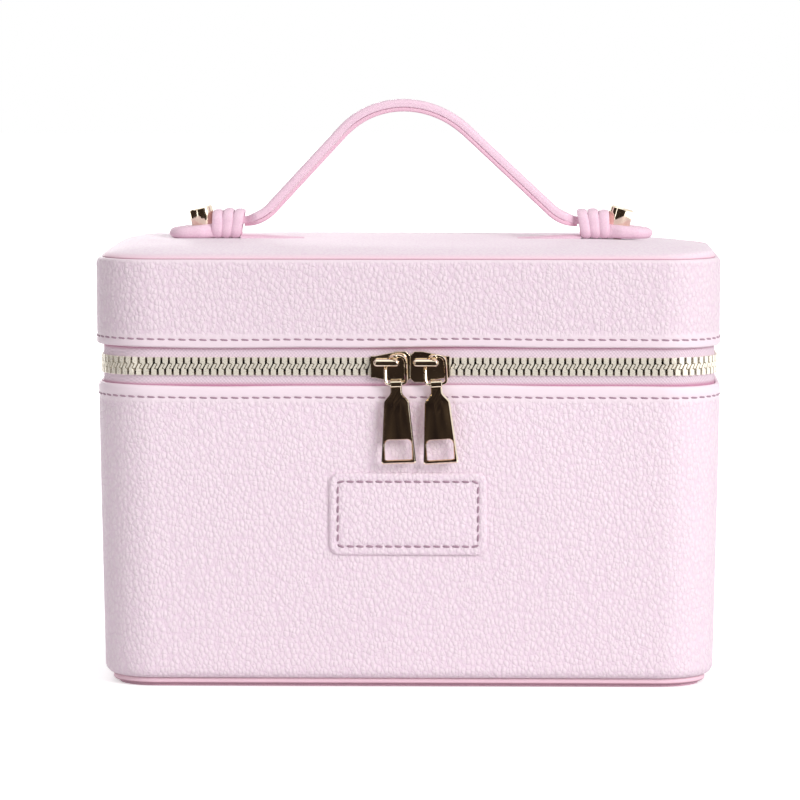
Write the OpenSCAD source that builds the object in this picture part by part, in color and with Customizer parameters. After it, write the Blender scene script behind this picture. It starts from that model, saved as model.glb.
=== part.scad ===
// Makeup storage case with a top handle: a rectangular leatherette box with round upright
// corners, a lid joined by a soft hinge strip at the back, and a two-way metal zip all round.
// Millimetres. +Z is up, the front faces -Y, the origin is the middle of the base on the floor.

/* [Case] */
// Width of the case
case_w = 222; // [200:1:240]
// Depth of the case
case_d = 130; // [120:1:150]
// Radius of the four upright corners, on the outside
corner_r = 21.5; // [20:0.5:24]
// Height of the lower box, from the floor to its hem
body_h = 108; // [90:1:120]
// Height of the open band that the zip fills
zip_gap = 13.5; // [13:0.1:15]
// Height of the lid's upright band
lid_h = 31; // [26:1:40]
// How far each side leans in from the hem to the floor
taper = 2.2; // [0.5:0.1:3]
// How far the padded top stands above its seam
crown_h = 4.8; // [3:0.1:6]
// Width of the padded top's round edge
edge_w = 10.5; // [6:0.5:14]

/* [Walls] */
// Thickness of the leatherette
skin_t = 1; // [0.8:0.1:1.2]
// Thickness of the stiffening board
board_t = 2; // [1.5:0.1:2.5]
// Thickness of the cloth lining
lining_t = 0.8; // [0.5:0.1:1]
// Width of the folded hems beside the zip
hem_h = 8; // [6:0.5:10]
// Radius with which the wall curls under the case
curl_r = 3.5; // [3:0.1:4]

/* [Zip] */
// Spacing of the teeth along one tape
tooth_pitch = 2.64; // [2.6:0.02:3]
// Overall width of the closed chain
chain_w = 6.5; // [6:0.1:7]
// Thickness of the teeth, through the tape
tooth_t = 2.5; // [2.2:0.1:2.6]
// Thickness of the woven tape
tape_t = 0.6; // [0.4:0.1:0.7]
// Half the width of the hinge strip between the two ends of the zip
hinge_half = 80.5; // [70:0.5:82]
// Where the two sliders meet, from the middle
meet_x = 0.8; // [-2:0.1:2]

/* [Slider] */
// Length of a slider body
slider_l = 13.85; // [13:0.05:15]
// Height of a slider at its wide end
slider_wide = 11; // [10.8:0.1:11.2]
// Height of a slider at its narrow end
slider_narrow = 7.8; // [7.7:0.1:8]
// Thickness of the slider's two plates
plate_t = 1.2; // [1:0.1:1.4]
// Length of the crown that the pull's link hangs on
crown_l = 9.1; // [8.6:0.1:9.6]
// Radius of the crown's bar
crown_r = 1.35; // [1.2:0.05:1.4]

/* [Pull] */
// Radius of the link's wire
wire_r = 0.55; // [0.5:0.05:0.6]
// Width of the link between the middles of its legs
link_w = 7.2; // [7:0.1:7.6]
// Drop from the crown's bar to the link's lower bar
link_drop = 7.4; // [7:0.1:8]
// Length of the tab below its eye
tab_l = 28.3; // [24:0.1:34]
// Width of the tab at its lower end
tab_w = 12.2; // [11:0.1:12.4]
// Thickness of the tab
tab_t = 1.5; // [1.2:0.1:1.8]
// How far the left pull hangs askew, in degrees
lean_left = 2; // [0:0.5:4]
// How far the right pull hangs askew, in degrees
lean_right = 3.5; // [0:0.5:4]

/* [Handle] */
// Height of the handle's top above the floor
handle_top = 207.4; // [202:0.2:212]
// Thickness of the strap
strap_t = 4.4; // [4:0.1:5]
// Width of the strap
strap_w = 10; // [8:0.5:11]
// Outer radius of the arch at the top
arch_r = 34; // [30:1:38]
// Outer radius of the bend above each keeper
foot_r = 12; // [11:0.5:15]
// Length of the straight slope between the two bends
slope_l = 40.4; // [38:0.1:42]
// Radius of a stud
stud_r = 4.4; // [4:0.1:4.6]
// Height of a stud
stud_h = 7; // [6:0.5:8]
// Lean of the studs, outwards
stud_lean = 15; // [10:1:16]

/* [Patch] */
// Width of the front patch
patch_w = 56; // [40:1:70]
// Height of the front patch
patch_h = 29.5; // [24:0.5:36]
// Height of the patch's middle above the floor
patch_z = 62.5; // [50:0.5:66]

/* [Hidden] */
$fn = 64;

pink = "#f0dae6";
pink_deep = "#e9cbdc";
tape_pink = "#eccfdc";
lining_rose = "#e6c3d3";
board_grey = "#b9b2a6";
foam_white = "#ece8e0";
gold = "#d9b778";
gold_pale = "#d6c9a6";

eps = 0.02;
joint = 0.05;                         // how far the runs of one solid reach into each other
lid_z = body_h + zip_gap;             // lower edge of the lid
top_z = lid_z + lid_h;                // top of the lid's rolled edge
crown_z = top_z + crown_h - 0.6;      // flat of the padded top
zip_z = body_h + zip_gap / 2;         // middle of the chain
wall_t = skin_t + board_t;            // from the outside to the lining
tape_in = 2 * skin_t;                 // the tape lies behind the doubled hem
tape_mid = tape_in + tape_t / 2;
tape_edge = 1.3;                      // how far the tape's edge runs into the teeth

piping_z = 1;                         // the piping stands off the floor, and its panel rests there
piping_r = 1.1;
base_t = piping_z + 2 * piping_r;     // underside of the box, over the base panel
piping_in = taper + 2.6;              // outer edge of the piping, from the hem's line
flap_t = skin_t;                      // the wall's flap that is glued under the board
flap_l = 6;
floor_z = base_t + flap_t + board_t;  // top of the base board
roll_r = 1.5;                         // the rolled edge of the lid's band
seam_in = 1.9;                        // the top seam, from the outside
puff_r = (edge_w * edge_w + crown_h * crown_h) / (2 * crown_h);
top_board_z = top_z - 2.5;            // top of the lid's flat board

// how far the wall has leaned in at a height
function lean(z) = taper * (body_h - z) / body_h;

// ---- sweeps round the case: the profile's x is the distance outwards, its y the height ----

module straight_runs(w, d, r, gap) {
    for (k = [0:3]) {
        across = k % 2 == 0 ? w : d;
        along = (k % 2 == 0 ? d : w) - 2 * r;
        if (k == 1 && gap > 0) {
            for (s = [-1, 1])
                rotate([0, 0, 90]) translate([across / 2, s * (along + gap) / 4, 0])
                    rotate([90, 0, 0])
                        linear_extrude((along - gap) / 2, center = true) children();
        } else {
            rotate([0, 0, 90 * k]) translate([across / 2, 0, 0]) rotate([90, 0, 0])
                linear_extrude(along, center = true) children();
        }
    }
}

module round_corners(w, d, r) {
    for (k = [0:3]) {
        cx = (k == 0 || k == 3 ? 1 : -1) * (w / 2 - r);
        cy = (k < 2 ? 1 : -1) * (d / 2 - r);
        translate([cx, cy, 0]) rotate([0, 0, 90 * k])
            rotate_extrude(angle = 90) translate([r, 0]) children();
    }
}

// the profile all round a rectangle with round corners, with a gap in the back run if wanted
module all_round(w = case_w, d = case_d, r = corner_r, gap = 0) {
    straight_runs(w, d, r, gap) children();
    round_corners(w, d, r) children();
}

// a rectangle with round corners
module round_rectangle(w, d, r) {
    square([w, d - 2 * r], center = true);
    square([w - 2 * r, d], center = true);
    for (sx = [-1, 1], sy = [-1, 1])
        translate([sx * (w / 2 - r), sy * (d / 2 - r)]) circle(r);
}

// a flat sheet with the case's outline, drawn in by a margin
module sheet(margin, z, t) {
    translate([0, 0, z]) linear_extrude(t)
        round_rectangle(case_w - 2 * margin, case_d - 2 * margin, corner_r - margin);
}

// one leaning layer of the lower box, between two depths and two heights
module layer(outer, inner, z0, z1) {
    polygon([[-lean(z0) - outer, z0], [-lean(z1) - outer, z1],
             [-lean(z1) - inner, z1], [-lean(z0) - inner, z0]]);
}

// ---- the lower box ----

module body_wall_profile() {
    curl_x = -lean(base_t + curl_r) - curl_r;
    // the outer leather and its doubled hem
    layer(0, skin_t, base_t + curl_r, body_h - skin_t);
    layer(skin_t, 2 * skin_t, body_h - hem_h, body_h - skin_t);
    // the fold along the top
    translate([-skin_t, body_h - skin_t]) intersection() {
        circle(skin_t);
        translate([-skin_t, 0]) square([2 * skin_t, skin_t]);
    }
    // the curl under the case, and the flap that is glued below the board
    translate([curl_x, base_t + curl_r]) intersection() {
        difference() {
            circle(curl_r);
            circle(curl_r - skin_t);
        }
        translate([0, -curl_r]) square(curl_r);
    }
    translate([curl_x - flap_l, base_t]) square([flap_l + joint, flap_t]);
}

module body_wall() {
    color(pink) all_round() body_wall_profile();
}

module body_board() {
    color(board_grey) all_round()
        layer(skin_t + eps, wall_t - eps, floor_z + 0.6, body_h - hem_h - 0.5);
}

module body_lining() {
    color(lining_rose) {
        all_round() layer(wall_t, wall_t + lining_t, floor_z, body_h - 0.4);
        sheet(lean(floor_z) + wall_t + lining_t - joint, floor_z, lining_t);
    }
}

module base_panel() {
    color(pink_deep) sheet(piping_in + 2 * piping_r, 0, base_t - 0.6);
}

module base_piping() {
    color(pink_deep) all_round() translate([-piping_in - piping_r, 0]) {
        translate([0, piping_z + piping_r]) circle(piping_r);
        translate([-4, base_t - 0.6]) square([4, 0.6]);
    }
}

module base_board() {
    color(board_grey)
        sheet(lean(base_t) + curl_r + 0.1, base_t + flap_t, board_t);
}

module front_patch() {
    edge_r = 1.2;
    lean_angle = atan(taper / body_h);
    color(pink)
        translate([0, -case_d / 2 + lean(patch_z), patch_z]) rotate([90 + lean_angle, 0, 0]) {
            all_round(patch_w, patch_h, 4) intersection() {
                translate([-edge_r, 0]) circle(edge_r);
                translate([-edge_r, 0]) square(edge_r);
            }
            linear_extrude(edge_r)
                round_rectangle(patch_w - 2 * edge_r, patch_h - 2 * edge_r, 4 - edge_r);
        }
}

// ---- strips behind the hems: each lies in its hem and reaches out of it over the gap ----

strip_in = 0.5;       // how far a strip's hidden edge stops short of its hem's

module lower_strip(depth, t, top) {
    layer(depth, depth + t, body_h - hem_h + strip_in, body_h);
    translate([-depth - t, body_h]) square([t, top - body_h]);
}

module upper_strip(depth, t, bottom) {
    translate([-depth - t, bottom]) square([t, lid_z + hem_h - strip_in - bottom]);
}

// the soft hinge at the back: one strip of leather, in two halves that meet on the fold
module hinge_strip() {
    color(pink_deep) translate([0, case_d / 2, 0]) rotate([90, 0, 90])
        linear_extrude(2 * hinge_half, center = true) children();
}

module hinge_strip_lower() hinge_strip() lower_strip(tape_in, skin_t, zip_z - joint);
module hinge_strip_upper() hinge_strip() upper_strip(tape_in, skin_t, zip_z + joint);

// ---- the zip ----

module zipper_tape() {
    color(tape_pink) all_round(gap = 2 * hinge_half) children();
}

module zipper_tape_lower()
    zipper_tape() lower_strip(tape_in, tape_t, zip_z - chain_w / 2 + tape_edge);
module zipper_tape_upper()
    zipper_tape() upper_strip(tape_in, tape_t, zip_z + chain_w / 2 - tape_edge);

// the chain's route, from the middle of the front to the end of the zip at the back
chain_r = corner_r - tape_mid;
run_front = case_w / 2 - corner_r;
run_side = case_d - 2 * corner_r;
bend_l = PI / 2 * chain_r;
half_chain = run_front + bend_l + run_side + bend_l + run_front - hinge_half - 3;

// place and heading of a point on the route, for a distance from the middle of the front
function on_route(s) =
    let (x = run_front, y = case_d / 2 - corner_r)
    s < run_front ? [s, -y - chain_r, 0]
    : s < run_front + bend_l ?
        let (a = 90 * (s - run_front) / bend_l)
        [x + chain_r * sin(a), -y - chain_r * cos(a), a]
    : s < run_front + bend_l + run_side ?
        [x + chain_r, -y + s - run_front - bend_l, 90]
    : s < run_front + 2 * bend_l + run_side ?
        let (a = 90 * (s - run_front - bend_l - run_side) / bend_l)
        [x + chain_r * cos(a), y + chain_r * sin(a), 90 + a]
    : [x - (s - run_front - 2 * bend_l - run_side), y + chain_r, 180];

// the sliders part the two rows round their posts: how far a row stands off there
part_max = 1.4;
part_from = 11;
part_full = 4;
function eased(u) = let (v = min(max(u, 0), 1)) v * v * (3 - 2 * v);
function parting(s) =
    part_max * eased((part_from - abs(s - meet_x)) / (part_from - part_full));
// past there the heads turn to the slant that they have in the closed chain
function hooked(s) = eased((abs(s - meet_x) - part_from) / 5);

leg_half = 0.92;      // half the width of a tooth's legs
head_half = 0.48;     // half the width of its head
head_h = 0.85;        // how far a head reaches past the middle of the chain
head_slant = 0.5;     // the heads lie aslant in the closed chain, so that they hook
bend_slack = 0.06;    // play of a tooth's slot where the tape bends through it

// One tooth of the lower row, with its legs clamped on both sides of the tape. Its head is a bar
// that leans across the middle of the chain.
module tooth(slant, slack) {
    foot = -chain_w / 2;
    slot = tape_t + slack;
    reach = slant * head_h;
    difference() {
        rotate([90, 0, 0]) linear_extrude(tooth_t, center = true)
            polygon([[leg_half, foot], [leg_half, -head_h - 0.35], [head_half - reach, -head_h],
                     [head_half + reach, head_h - 0.2], [head_half + reach - 0.25, head_h],
                     [reach - head_half + 0.1, head_h], [-head_half - reach, -head_h],
                     [-leg_half, -head_h - 0.35], [-leg_half, foot]]);
        translate([-1, -slot / 2, foot - 0.1]) cube([2, slot, 3.1]);
    }
}

// one row: `up` is 1 for the row on the lower box and -1 for the row on the lid
module tooth_row(up) {
    shift = up > 0 ? 0 : 0.5;
    last = floor(half_chain / tooth_pitch - shift);
    color(gold_pale)
        for (i = [-last - (up > 0 ? 0 : 1):last]) {
            s = (i + shift) * tooth_pitch;
            p = on_route(abs(s));
            side = s < 0 ? -1 : 1;
            slack = p[2] % 90 == 0 ? 0 : bend_slack;
            translate([side * p[0], p[1], zip_z - up * parting(s)])
                rotate([0, up > 0 ? 0 : 180, side * p[2]])
                    tooth(head_slant * hooked(s), slack);
        }
}

module zipper_teeth_lower() tooth_row(1);
module zipper_teeth_upper() tooth_row(-1);

// a metal clamp on the lower tape past each end of the chain, which holds the slider back
module zipper_end_stops() {
    stop_h = 3.4;
    color(gold_pale)
        for (side = [-1, 1])
            translate([side * (hinge_half + 1.2), case_d / 2 - tape_mid,
                       zip_z - chain_w / 2 + tape_edge - 1.2])
                difference() {
                    translate([-0.9, -tooth_t / 2, 0]) cube([1.8, tooth_t, stop_h]);
                    translate([-1, -tape_t / 2, -1]) cube([2, tape_t, 2.2]);
                }
}

// ---- sliders: local x runs from the wide mouth to the narrow end, z up, -y to the front ----

channel_t = tooth_t + 0.3;            // the channel that the teeth run in
slot_t = tape_t + 0.6;                // the slot that the tape runs in
chain_y = -case_d / 2 + tape_mid;     // middle of the tape at the front
plate_y = chain_y - channel_t / 2 - plate_t;   // the slider's front face
bar_gap = 3.1;                        // from the front face to the middle of the crown's bar
bar_y = plate_y - bar_gap;
bar_z = zip_z + 1.65;
crown_off = -1.4;                     // the crown and link sit off the sliders' middles
link_off = 3.2;
slider_mid = slider_l / 2 + 0.05;

function slider_x(side) = meet_x + side * slider_mid;
function crown_x(side) = slider_x(side) + crown_off;
function link_x(side) = crown_x(side) + link_off;
function askew(side) = side < 0 ? lean_left : lean_right;

// outline of a slider, drawn in by a margin at its upper and lower edges
module slider_outline(margin, extra) {
    w = slider_wide / 2 - margin;
    n = slider_narrow / 2 - margin;
    k = 1.4;
    polygon([[-extra, w - k], [k - extra, w], [4.4, w], [12.4, n], [slider_l + extra, n],
             [slider_l + extra, -n], [12.4, -n], [4.4, -w], [k - extra, -w],
             [-extra, k - w]]);
}

module upright(t) {
    rotate([90, 0, 0]) linear_extrude(t, center = true) children();
}

module slider_body(side) {
    plate_mid = (channel_t + plate_t) / 2;
    lip_t = (channel_t - slot_t) / 2;
    lip_h = 0.4;
    color(gold)
        translate([meet_x + side * 0.05, chain_y, zip_z]) mirror([side > 0 ? 0 : 1, 0, 0]) {
            for (f = [-1, 1]) {
                translate([0, f * plate_mid, 0]) upright(plate_t) slider_outline(0, 0);
                translate([0, f * (channel_t - lip_t) / 2, 0]) upright(lip_t)
                    difference() {
                        slider_outline(0, 0);
                        slider_outline(lip_h, 1.5);
                    }
            }
            // the post that parts the two rows
            upright(channel_t) polygon([[0.6, 0], [2.4, 0.42], [5.2, 0], [2.4, -0.42]]);
        }
}

module slider_body_left() slider_body(-1);
module slider_body_right() slider_body(1);

// the raised bar along the slider that the link hangs on, with a foot at each end
module slider_crown(side) {
    foot_l = 0.9;
    half = crown_l / 2 - crown_r;
    color(gold) translate([crown_x(side), bar_y, bar_z]) {
        rotate([0, 90, 0]) cylinder(r = crown_r, h = 2 * half, center = true);
        for (f = [-1, 1]) {
            translate([f * half, 0, 0]) sphere(crown_r);
            translate([f * (crown_l / 2 - foot_l / 2), (bar_gap) / 2, 0])
                cube([foot_l, bar_gap, 1.9], center = true);
        }
    }
}

module slider_crown_left() slider_crown(-1);
module slider_crown_right() slider_crown(1);

// ---- links: a wire ring threaded under the crown's bar ----

// A ring's points, from the end of its lower bar up the right leg, over the crown's end, down
// behind its bar and down the left leg. Where it turns round the bar, a point is given by its
// place along the bar from the crown's middle, its distance from the bar's axis, and its angle
// from straight down.
function round_bar(x, far, a) = [x - link_off, -far * sin(a), -far * cos(a)];
clear_r = crown_r + wire_r + 0.22;
leg_x = link_w / 2;
ring_knots = [
    [leg_x - 1.2, 0, -link_drop],
    [leg_x - 0.35, -0.02, -link_drop + 0.35],
    [leg_x, -0.1, -link_drop + 1.3],
    [leg_x, -0.7, -3.6],
    [leg_x, -1.3, -1.2],
    [leg_x - 0.1, -1.6, 0.7],
    [leg_x - 0.9, -1.75, 2],
    round_bar(4.5, 3, 148),
    round_bar(3.3, 2.65, 155),
    round_bar(2.2, clear_r + 0.15, 180),
    round_bar(1.1, clear_r, 225),
    round_bar(0.3, clear_r, 262),
    round_bar(-0.2, clear_r + 0.1, 296),
    [-leg_x, 1.2, -2.4],
    [-leg_x, 0.5, -4.4],
    [-leg_x, 0.1, -link_drop + 1.3],
    [-leg_x + 0.35, 0.02, -link_drop + 0.35],
    [-leg_x + 1.2, 0, -link_drop],
];

// a smooth curve through the knots: the cubic between two of them, at a share of the way
function knot(i) = ring_knots[min(max(i, 0), len(ring_knots) - 1)];
function between(i, u) =
    let (a = knot(i - 1), b = knot(i), c = knot(i + 1), d = knot(i + 2))
    0.5 * (2 * b + (c - a) * u + (2 * a - 5 * b + 4 * c - d) * u * u
           + (3 * b - 3 * c + d - a) * u * u * u);
ring_steps = 3;
ring_path = [
    for (i = [0:len(ring_knots) - 2], j = [0:ring_steps - 1]) between(i, j / ring_steps),
    knot(len(ring_knots) - 1),
];

function unit(v) = v / norm(v);
function heading(path, i) =
    unit(path[min(i + 1, len(path) - 1)] - path[max(i - 1, 0)]);

// a round tube along a path: each ring's frame is turned on from the last one
function next_side(side, t) = unit(side - (side * t) * t);
function sides(path, i, side) =
    i == len(path) ? [] :
    let (s = next_side(side, heading(path, i))) concat([s], sides(path, i + 1, s));

module tube(path, r, first_side, n = 10) {
    side = sides(path, 0, first_side);
    points = [
        for (i = [0:len(path) - 1])
            let (u = side[i], v = cross(heading(path, i), u))
            for (k = [0:n - 1]) path[i] + r * (cos(360 * k / n) * u + sin(360 * k / n) * v),
    ];
    last = (len(path) - 1) * n;
    polyhedron(points, concat(
        [for (i = [0:len(path) - 2], k = [0:n - 1])
            each [[i * n + k, (i + 1) * n + k, i * n + (k + 1) % n],
                  [i * n + (k + 1) % n, (i + 1) * n + k, (i + 1) * n + (k + 1) % n]]],
        [for (k = [1:n - 2]) [0, k, k + 1]],
        [for (k = [1:n - 2]) [last, last + k + 1, last + k]]));
}

// the frame that a link and its tab hang in: its origin is on the crown's axis
module hung(side) {
    translate([link_x(side), bar_y, bar_z]) rotate([0, -askew(side), 0]) children();
}

module pull_link(side) {
    color(gold) hung(side) {
        tube(ring_path, wire_r - 0.02, [0, 1, 0]);
        translate([0, 0, -link_drop]) rotate([0, 90, 0])
            cylinder(r = wire_r, h = link_w - 2.4 + 0.2, center = true);
    }
}

module pull_link_left() pull_link(-1);
module pull_link_right() pull_link(1);

// ---- pull tabs ----

neck_half = 2;
neck_l = 2.8;         // the neck below the eye
shoulder_half = 4.45; // half the width where the flare ends
flare_l = 4;
window_w = 9.5;
window_h = 7;
window_r = 1.6;
bottom_bar = 1.5;

module tab_outline() {
    corner = 0.7;
    flare = [for (i = [0:6]) let (u = i / 6)
        [neck_half + (shoulder_half - neck_half) * eased(u), -neck_l - flare_l * u]];
    half = concat([[neck_half, 0]], flare,
        [[tab_w / 2, -tab_l + corner], [tab_w / 2 - corner, -tab_l]]);
    polygon(concat(half, [for (i = [len(half) - 1:-1:0]) [-half[i][0], half[i][1]]]));
}

module tab_window() {
    translate([0, -tab_l + bottom_bar + window_h / 2]) difference() {
        square([window_w, window_h], center = true);
        for (sx = [-1, 1])
            translate([sx * window_w / 2, window_h / 2]) difference() {
                square(2 * window_r, center = true);
                translate([-sx * window_r, -window_r]) circle(window_r);
            }
    }
}

module pull_tab(side) {
    eye_r = 1.35;
    eye_bore_r = wire_r + 0.05;
    color(gold) hung(side) translate([0, 0, -link_drop]) difference() {
        union() {
            upright(tab_t) difference() {
                tab_outline();
                tab_window();
            }
            rotate([0, 90, 0]) cylinder(r = eye_r, h = 2 * neck_half, center = true);
        }
        rotate([0, 90, 0]) cylinder(r = eye_bore_r, h = 6 * neck_half, center = true);
    }
}

module pull_tab_left() pull_tab(-1);
module pull_tab_right() pull_tab(1);

// ---- the lid ----

module lid_wall_profile() {
    translate([-skin_t, lid_z + skin_t]) square([skin_t, lid_h - skin_t - roll_r]);
    translate([-2 * skin_t, lid_z + skin_t]) square([skin_t, hem_h - skin_t]);
    translate([-skin_t, lid_z + skin_t]) intersection() {
        circle(skin_t);
        translate([-skin_t, -skin_t]) square([2 * skin_t, skin_t]);
    }
    translate([-roll_r, top_z - roll_r]) intersection() {
        difference() {
            circle(roll_r);
            circle(roll_r - skin_t);
        }
        translate([roll_r - seam_in, 0]) square([seam_in, roll_r]);
    }
}

module lid_wall() {
    color(pink) all_round() lid_wall_profile();
}

module lid_band_board() {
    color(board_grey) all_round()
        translate([-wall_t, lid_z + hem_h + 0.5])
            square([board_t, top_board_z - lid_z - hem_h - 0.6]);
}

// the padded form, flat on top with a round edge, at a depth below its surface and above a
// floor; the edge reaches out past the seam if wanted
module puffed(depth, z0, past = 0) {
    margin = seam_in + edge_w;
    all_round(case_w - 2 * margin, case_d - 2 * margin, corner_r - margin) intersection() {
        translate([0, crown_z - puff_r]) circle(puff_r - depth, $fn = 256);
        translate([0, z0]) square([edge_w + past, crown_z]);
    }
    sheet(margin, z0, crown_z - depth - z0);
}

top_skin_t = 1.2;     // the leather of the top and the cloth that it is glued to

module stud_bores() {
    for (side = [-1, 1])
        translate([side * stud_x, 0, lid_z]) cylinder(r = bore_r, h = 2 * lid_h);
}

module lid_top_panel() {
    color(pink) difference() {
        puffed(0, top_z - 2);
        puffed(top_skin_t, top_z - 5, 2);
        stud_bores();
    }
}

module lid_padding() {
    color(foam_white) difference() {
        puffed(top_skin_t + eps, top_board_z);
        stud_bores();
    }
}

module lid_top_board() {
    color(board_grey) difference() {
        sheet(wall_t + 0.1, top_board_z - board_t, board_t);
        stud_bores();
    }
}

module lid_lining() {
    ceiling = top_board_z - board_t;
    color(lining_rose) difference() {
        union() {
            all_round() translate([-wall_t - lining_t, lid_z + 0.4])
                square([lining_t, ceiling - lid_z - 0.4]);
            sheet(wall_t + lining_t, ceiling - lining_t, lining_t);
        }
        stud_bores();
    }
}

// ---- what holds the handle: a tongue under each stud, bound to the strap by three turns ----

stud_x = 75.4;
shank_r = 1.5;
bore_r = shank_r + 0.05;
tongue_t = 4.4;
tongue_end = 88.3;    // the round outer end of the tongue
tongue_w = 14;
keeper_in = 61.5;     // the keeper's two ends, from the middle
keeper_out = 72.4;
turn_t = 1.1;
keeper_w = 12.4;
keeper_top = crown_z + 10.4;
tail_end = 39;
tail_t = 1.3;
tail_w = 8.2;
root_l = 0.3;         // the tail's root, which steps up to the legs inside the first turn
root_t = 1.7;

strap_half = strap_t / 2;
arch_mid = arch_r - strap_half;
foot_mid = foot_r + strap_half;
slope = 45;
// the drop from the top of the arch to the strap's level ends
drop = (arch_mid + foot_mid) * (1 - cos(slope)) + slope_l * sin(slope);
strap_end = (arch_mid + foot_mid) * sin(slope) + slope_l * cos(slope);
swing_z = handle_top - strap_half - drop;      // the axis that the handle swings on
rolled_r = 2.1;        // the strap's rolled ends, which turn inside the keepers
rolled_end = keeper_out - 2.8;

module on_side(side) {
    mirror([side > 0 ? 0 : 1, 0, 0]) children();
}

module stud_head(grow) {
    translate([stud_x, 0, crown_z + tongue_t]) rotate([0, stud_lean, 0])
        translate([0, 0, -0.2]) cylinder(r = stud_r + grow, h = stud_h + 0.2 + grow);
}

module handle_anchor(side) {
    rim_r = 1.9;
    eye_x = tongue_end - tongue_w / 2;
    eye_l = eye_x - keeper_out;
    legs_l = keeper_out - keeper_in + joint;
    color(pink_deep) on_side(side) difference() {
        union() {
            // the eye: a flat sole with a rolled edge
            translate([0, 0, crown_z]) linear_extrude(tongue_t - 0.4) {
                translate([eye_x, 0]) circle(tongue_w / 2 - rim_r);
                translate([keeper_out, -tongue_w / 2 + rim_r])
                    square([eye_l, tongue_w - 2 * rim_r]);
            }
            translate([eye_x, 0, crown_z + tongue_t / 2]) {
                rotate([0, 0, -90]) rotate_extrude(angle = 180)
                    translate([tongue_w / 2 - rim_r, 0]) rolled_edge(rim_r);
                for (f = [-1, 1])
                    translate([-eye_l / 2, f * (tongue_w / 2 - rim_r), 0])
                        rotate([90, 0, 90]) linear_extrude(eye_l, center = true)
                            rolled_edge(rim_r);
            }
            // the legs inside the three turns, round the strap's rolled end
            translate([keeper_in + legs_l / 2, 0, (crown_z + keeper_top) / 2])
                rotate([90, 0, 90]) linear_extrude(legs_l, center = true)
                    round_rectangle(keeper_w - 2 * turn_t,
                                    keeper_top - crown_z - 2 * turn_t, 3);
            // the tail, a wedge on the lid
            translate([keeper_in, 0, crown_z]) rotate([90, 0, 0]) {
                linear_extrude(tail_w, center = true)
                    polygon([[tail_end - keeper_in, 0], [-eps, 0], [-eps, tail_t],
                             [tail_end - keeper_in, 0.4]]);
                linear_extrude(tail_w / 2, center = true)
                    translate([-root_l, turn_t + eps]) square([1, root_t - turn_t - eps]);
            }
        }
        translate([keeper_in - 1, 0, swing_z]) rotate([0, 90, 0])
            cylinder(r = rolled_r + 0.06, h = rolled_end + 0.8 - keeper_in + 1);
        stud_head(eps);
        translate([stud_x, 0, crown_z - 1]) cylinder(r = bore_r, h = 3 * tongue_t);
    }
}

// the round of a rolled leather edge, flattened to the tongue's thickness
module rolled_edge(r) {
    intersection() {
        circle(tongue_t / 2);
        square([2 * r, tongue_t], center = true);
    }
}

module handle_anchor_left() handle_anchor(-1);
module handle_anchor_right() handle_anchor(1);

// three turns of cord leather round the strap's end and the tongue's legs
module keeper_wrap(side) {
    turns = 3;
    pitch = (keeper_out - keeper_in) / turns;
    h = keeper_top - crown_z;
    color(pink) on_side(side) difference() {
        for (i = [0:turns - 1])
            translate([keeper_in + pitch * (i + 0.5), 0, (crown_z + keeper_top) / 2])
                rotate([90, 0, 90]) all_round(keeper_w, h, 3 + turn_t) intersection() {
                    translate([-turn_t - 1.5, 0]) circle(1.5 + turn_t);
                    translate([-turn_t, -pitch / 2]) square([turn_t, pitch]);
                }
        stud_head(0.05);
    }
}

module keeper_wrap_left() keeper_wrap(-1);
module keeper_wrap_right() keeper_wrap(1);

stud_screw_z = top_board_z - board_t - lining_t - 0.8;
stud_bevel = 0.5;

module stud(side) {
    color(gold) on_side(side) {
        translate([stud_x, 0, crown_z + tongue_t]) rotate([0, stud_lean, 0]) {
            cylinder(r = stud_r, h = stud_h - stud_bevel);
            translate([0, 0, stud_h - stud_bevel])
                cylinder(r1 = stud_r, r2 = stud_r - stud_bevel, h = stud_bevel);
        }
        translate([stud_x, 0, stud_screw_z])
            cylinder(r = shank_r, h = crown_z + tongue_t + 1 - stud_screw_z);
    }
}

module stud_left() stud(-1);
module stud_right() stud(1);

// the washer and the screw's head under the lid's lining
module stud_washer(side) {
    color(gold_pale) on_side(side) translate([stud_x, 0, stud_screw_z]) difference() {
        cylinder(r = 5, h = 0.8);
        translate([0, 0, -1]) cylinder(r = bore_r, h = 3);
    }
}

module stud_washer_left() stud_washer(-1);
module stud_washer_right() stud_washer(1);

module stud_screw(side) {
    head_h = 1.6;
    color(gold_pale) on_side(side) translate([stud_x, 0, stud_screw_z - head_h]) difference() {
        union() {
            translate([0, 0, 0.6]) cylinder(r = 3.4, h = head_h - 0.6);
            cylinder(r1 = 2.6, r2 = 3.4, h = 0.6);
        }
        translate([-0.4, -5, -1]) cube([0.8, 10, 1.7]);
    }
}

module stud_screw_left() stud_screw(-1);
module stud_screw_right() stud_screw(1);

// ---- the handle: a bell-shaped strap of two layers ----

// the frame of a slope: its origin is the arch's middle, its x runs down the slope, and its z
// points outwards
module on_slope() {
    for (side = [-1, 1]) on_side(side)
        translate([0, 0, handle_top - arch_r]) rotate([0, slope, 0]) children();
}

// the strap's section, swept along its arch, slopes and feet; the profile's x points to the
// outside of the arch, and its y runs across the strap
module strap_sweep() {
    on_slope() {
        rotate([90, 0, 0]) rotate([0, 0, 90]) rotate_extrude(angle = slope)
            translate([arch_mid, 0]) children();
        translate([slope_l / 2, 0, arch_mid]) rotate([0, -90, 0])
            linear_extrude(slope_l, center = true) children();
        translate([slope_l, 0, arch_mid + foot_mid]) rotate([90, 0, 0])
            rotate([0, 0, -90]) rotate_extrude(angle = slope)
                translate([foot_mid, 0]) mirror([1, 0]) children();
    }
}

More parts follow.
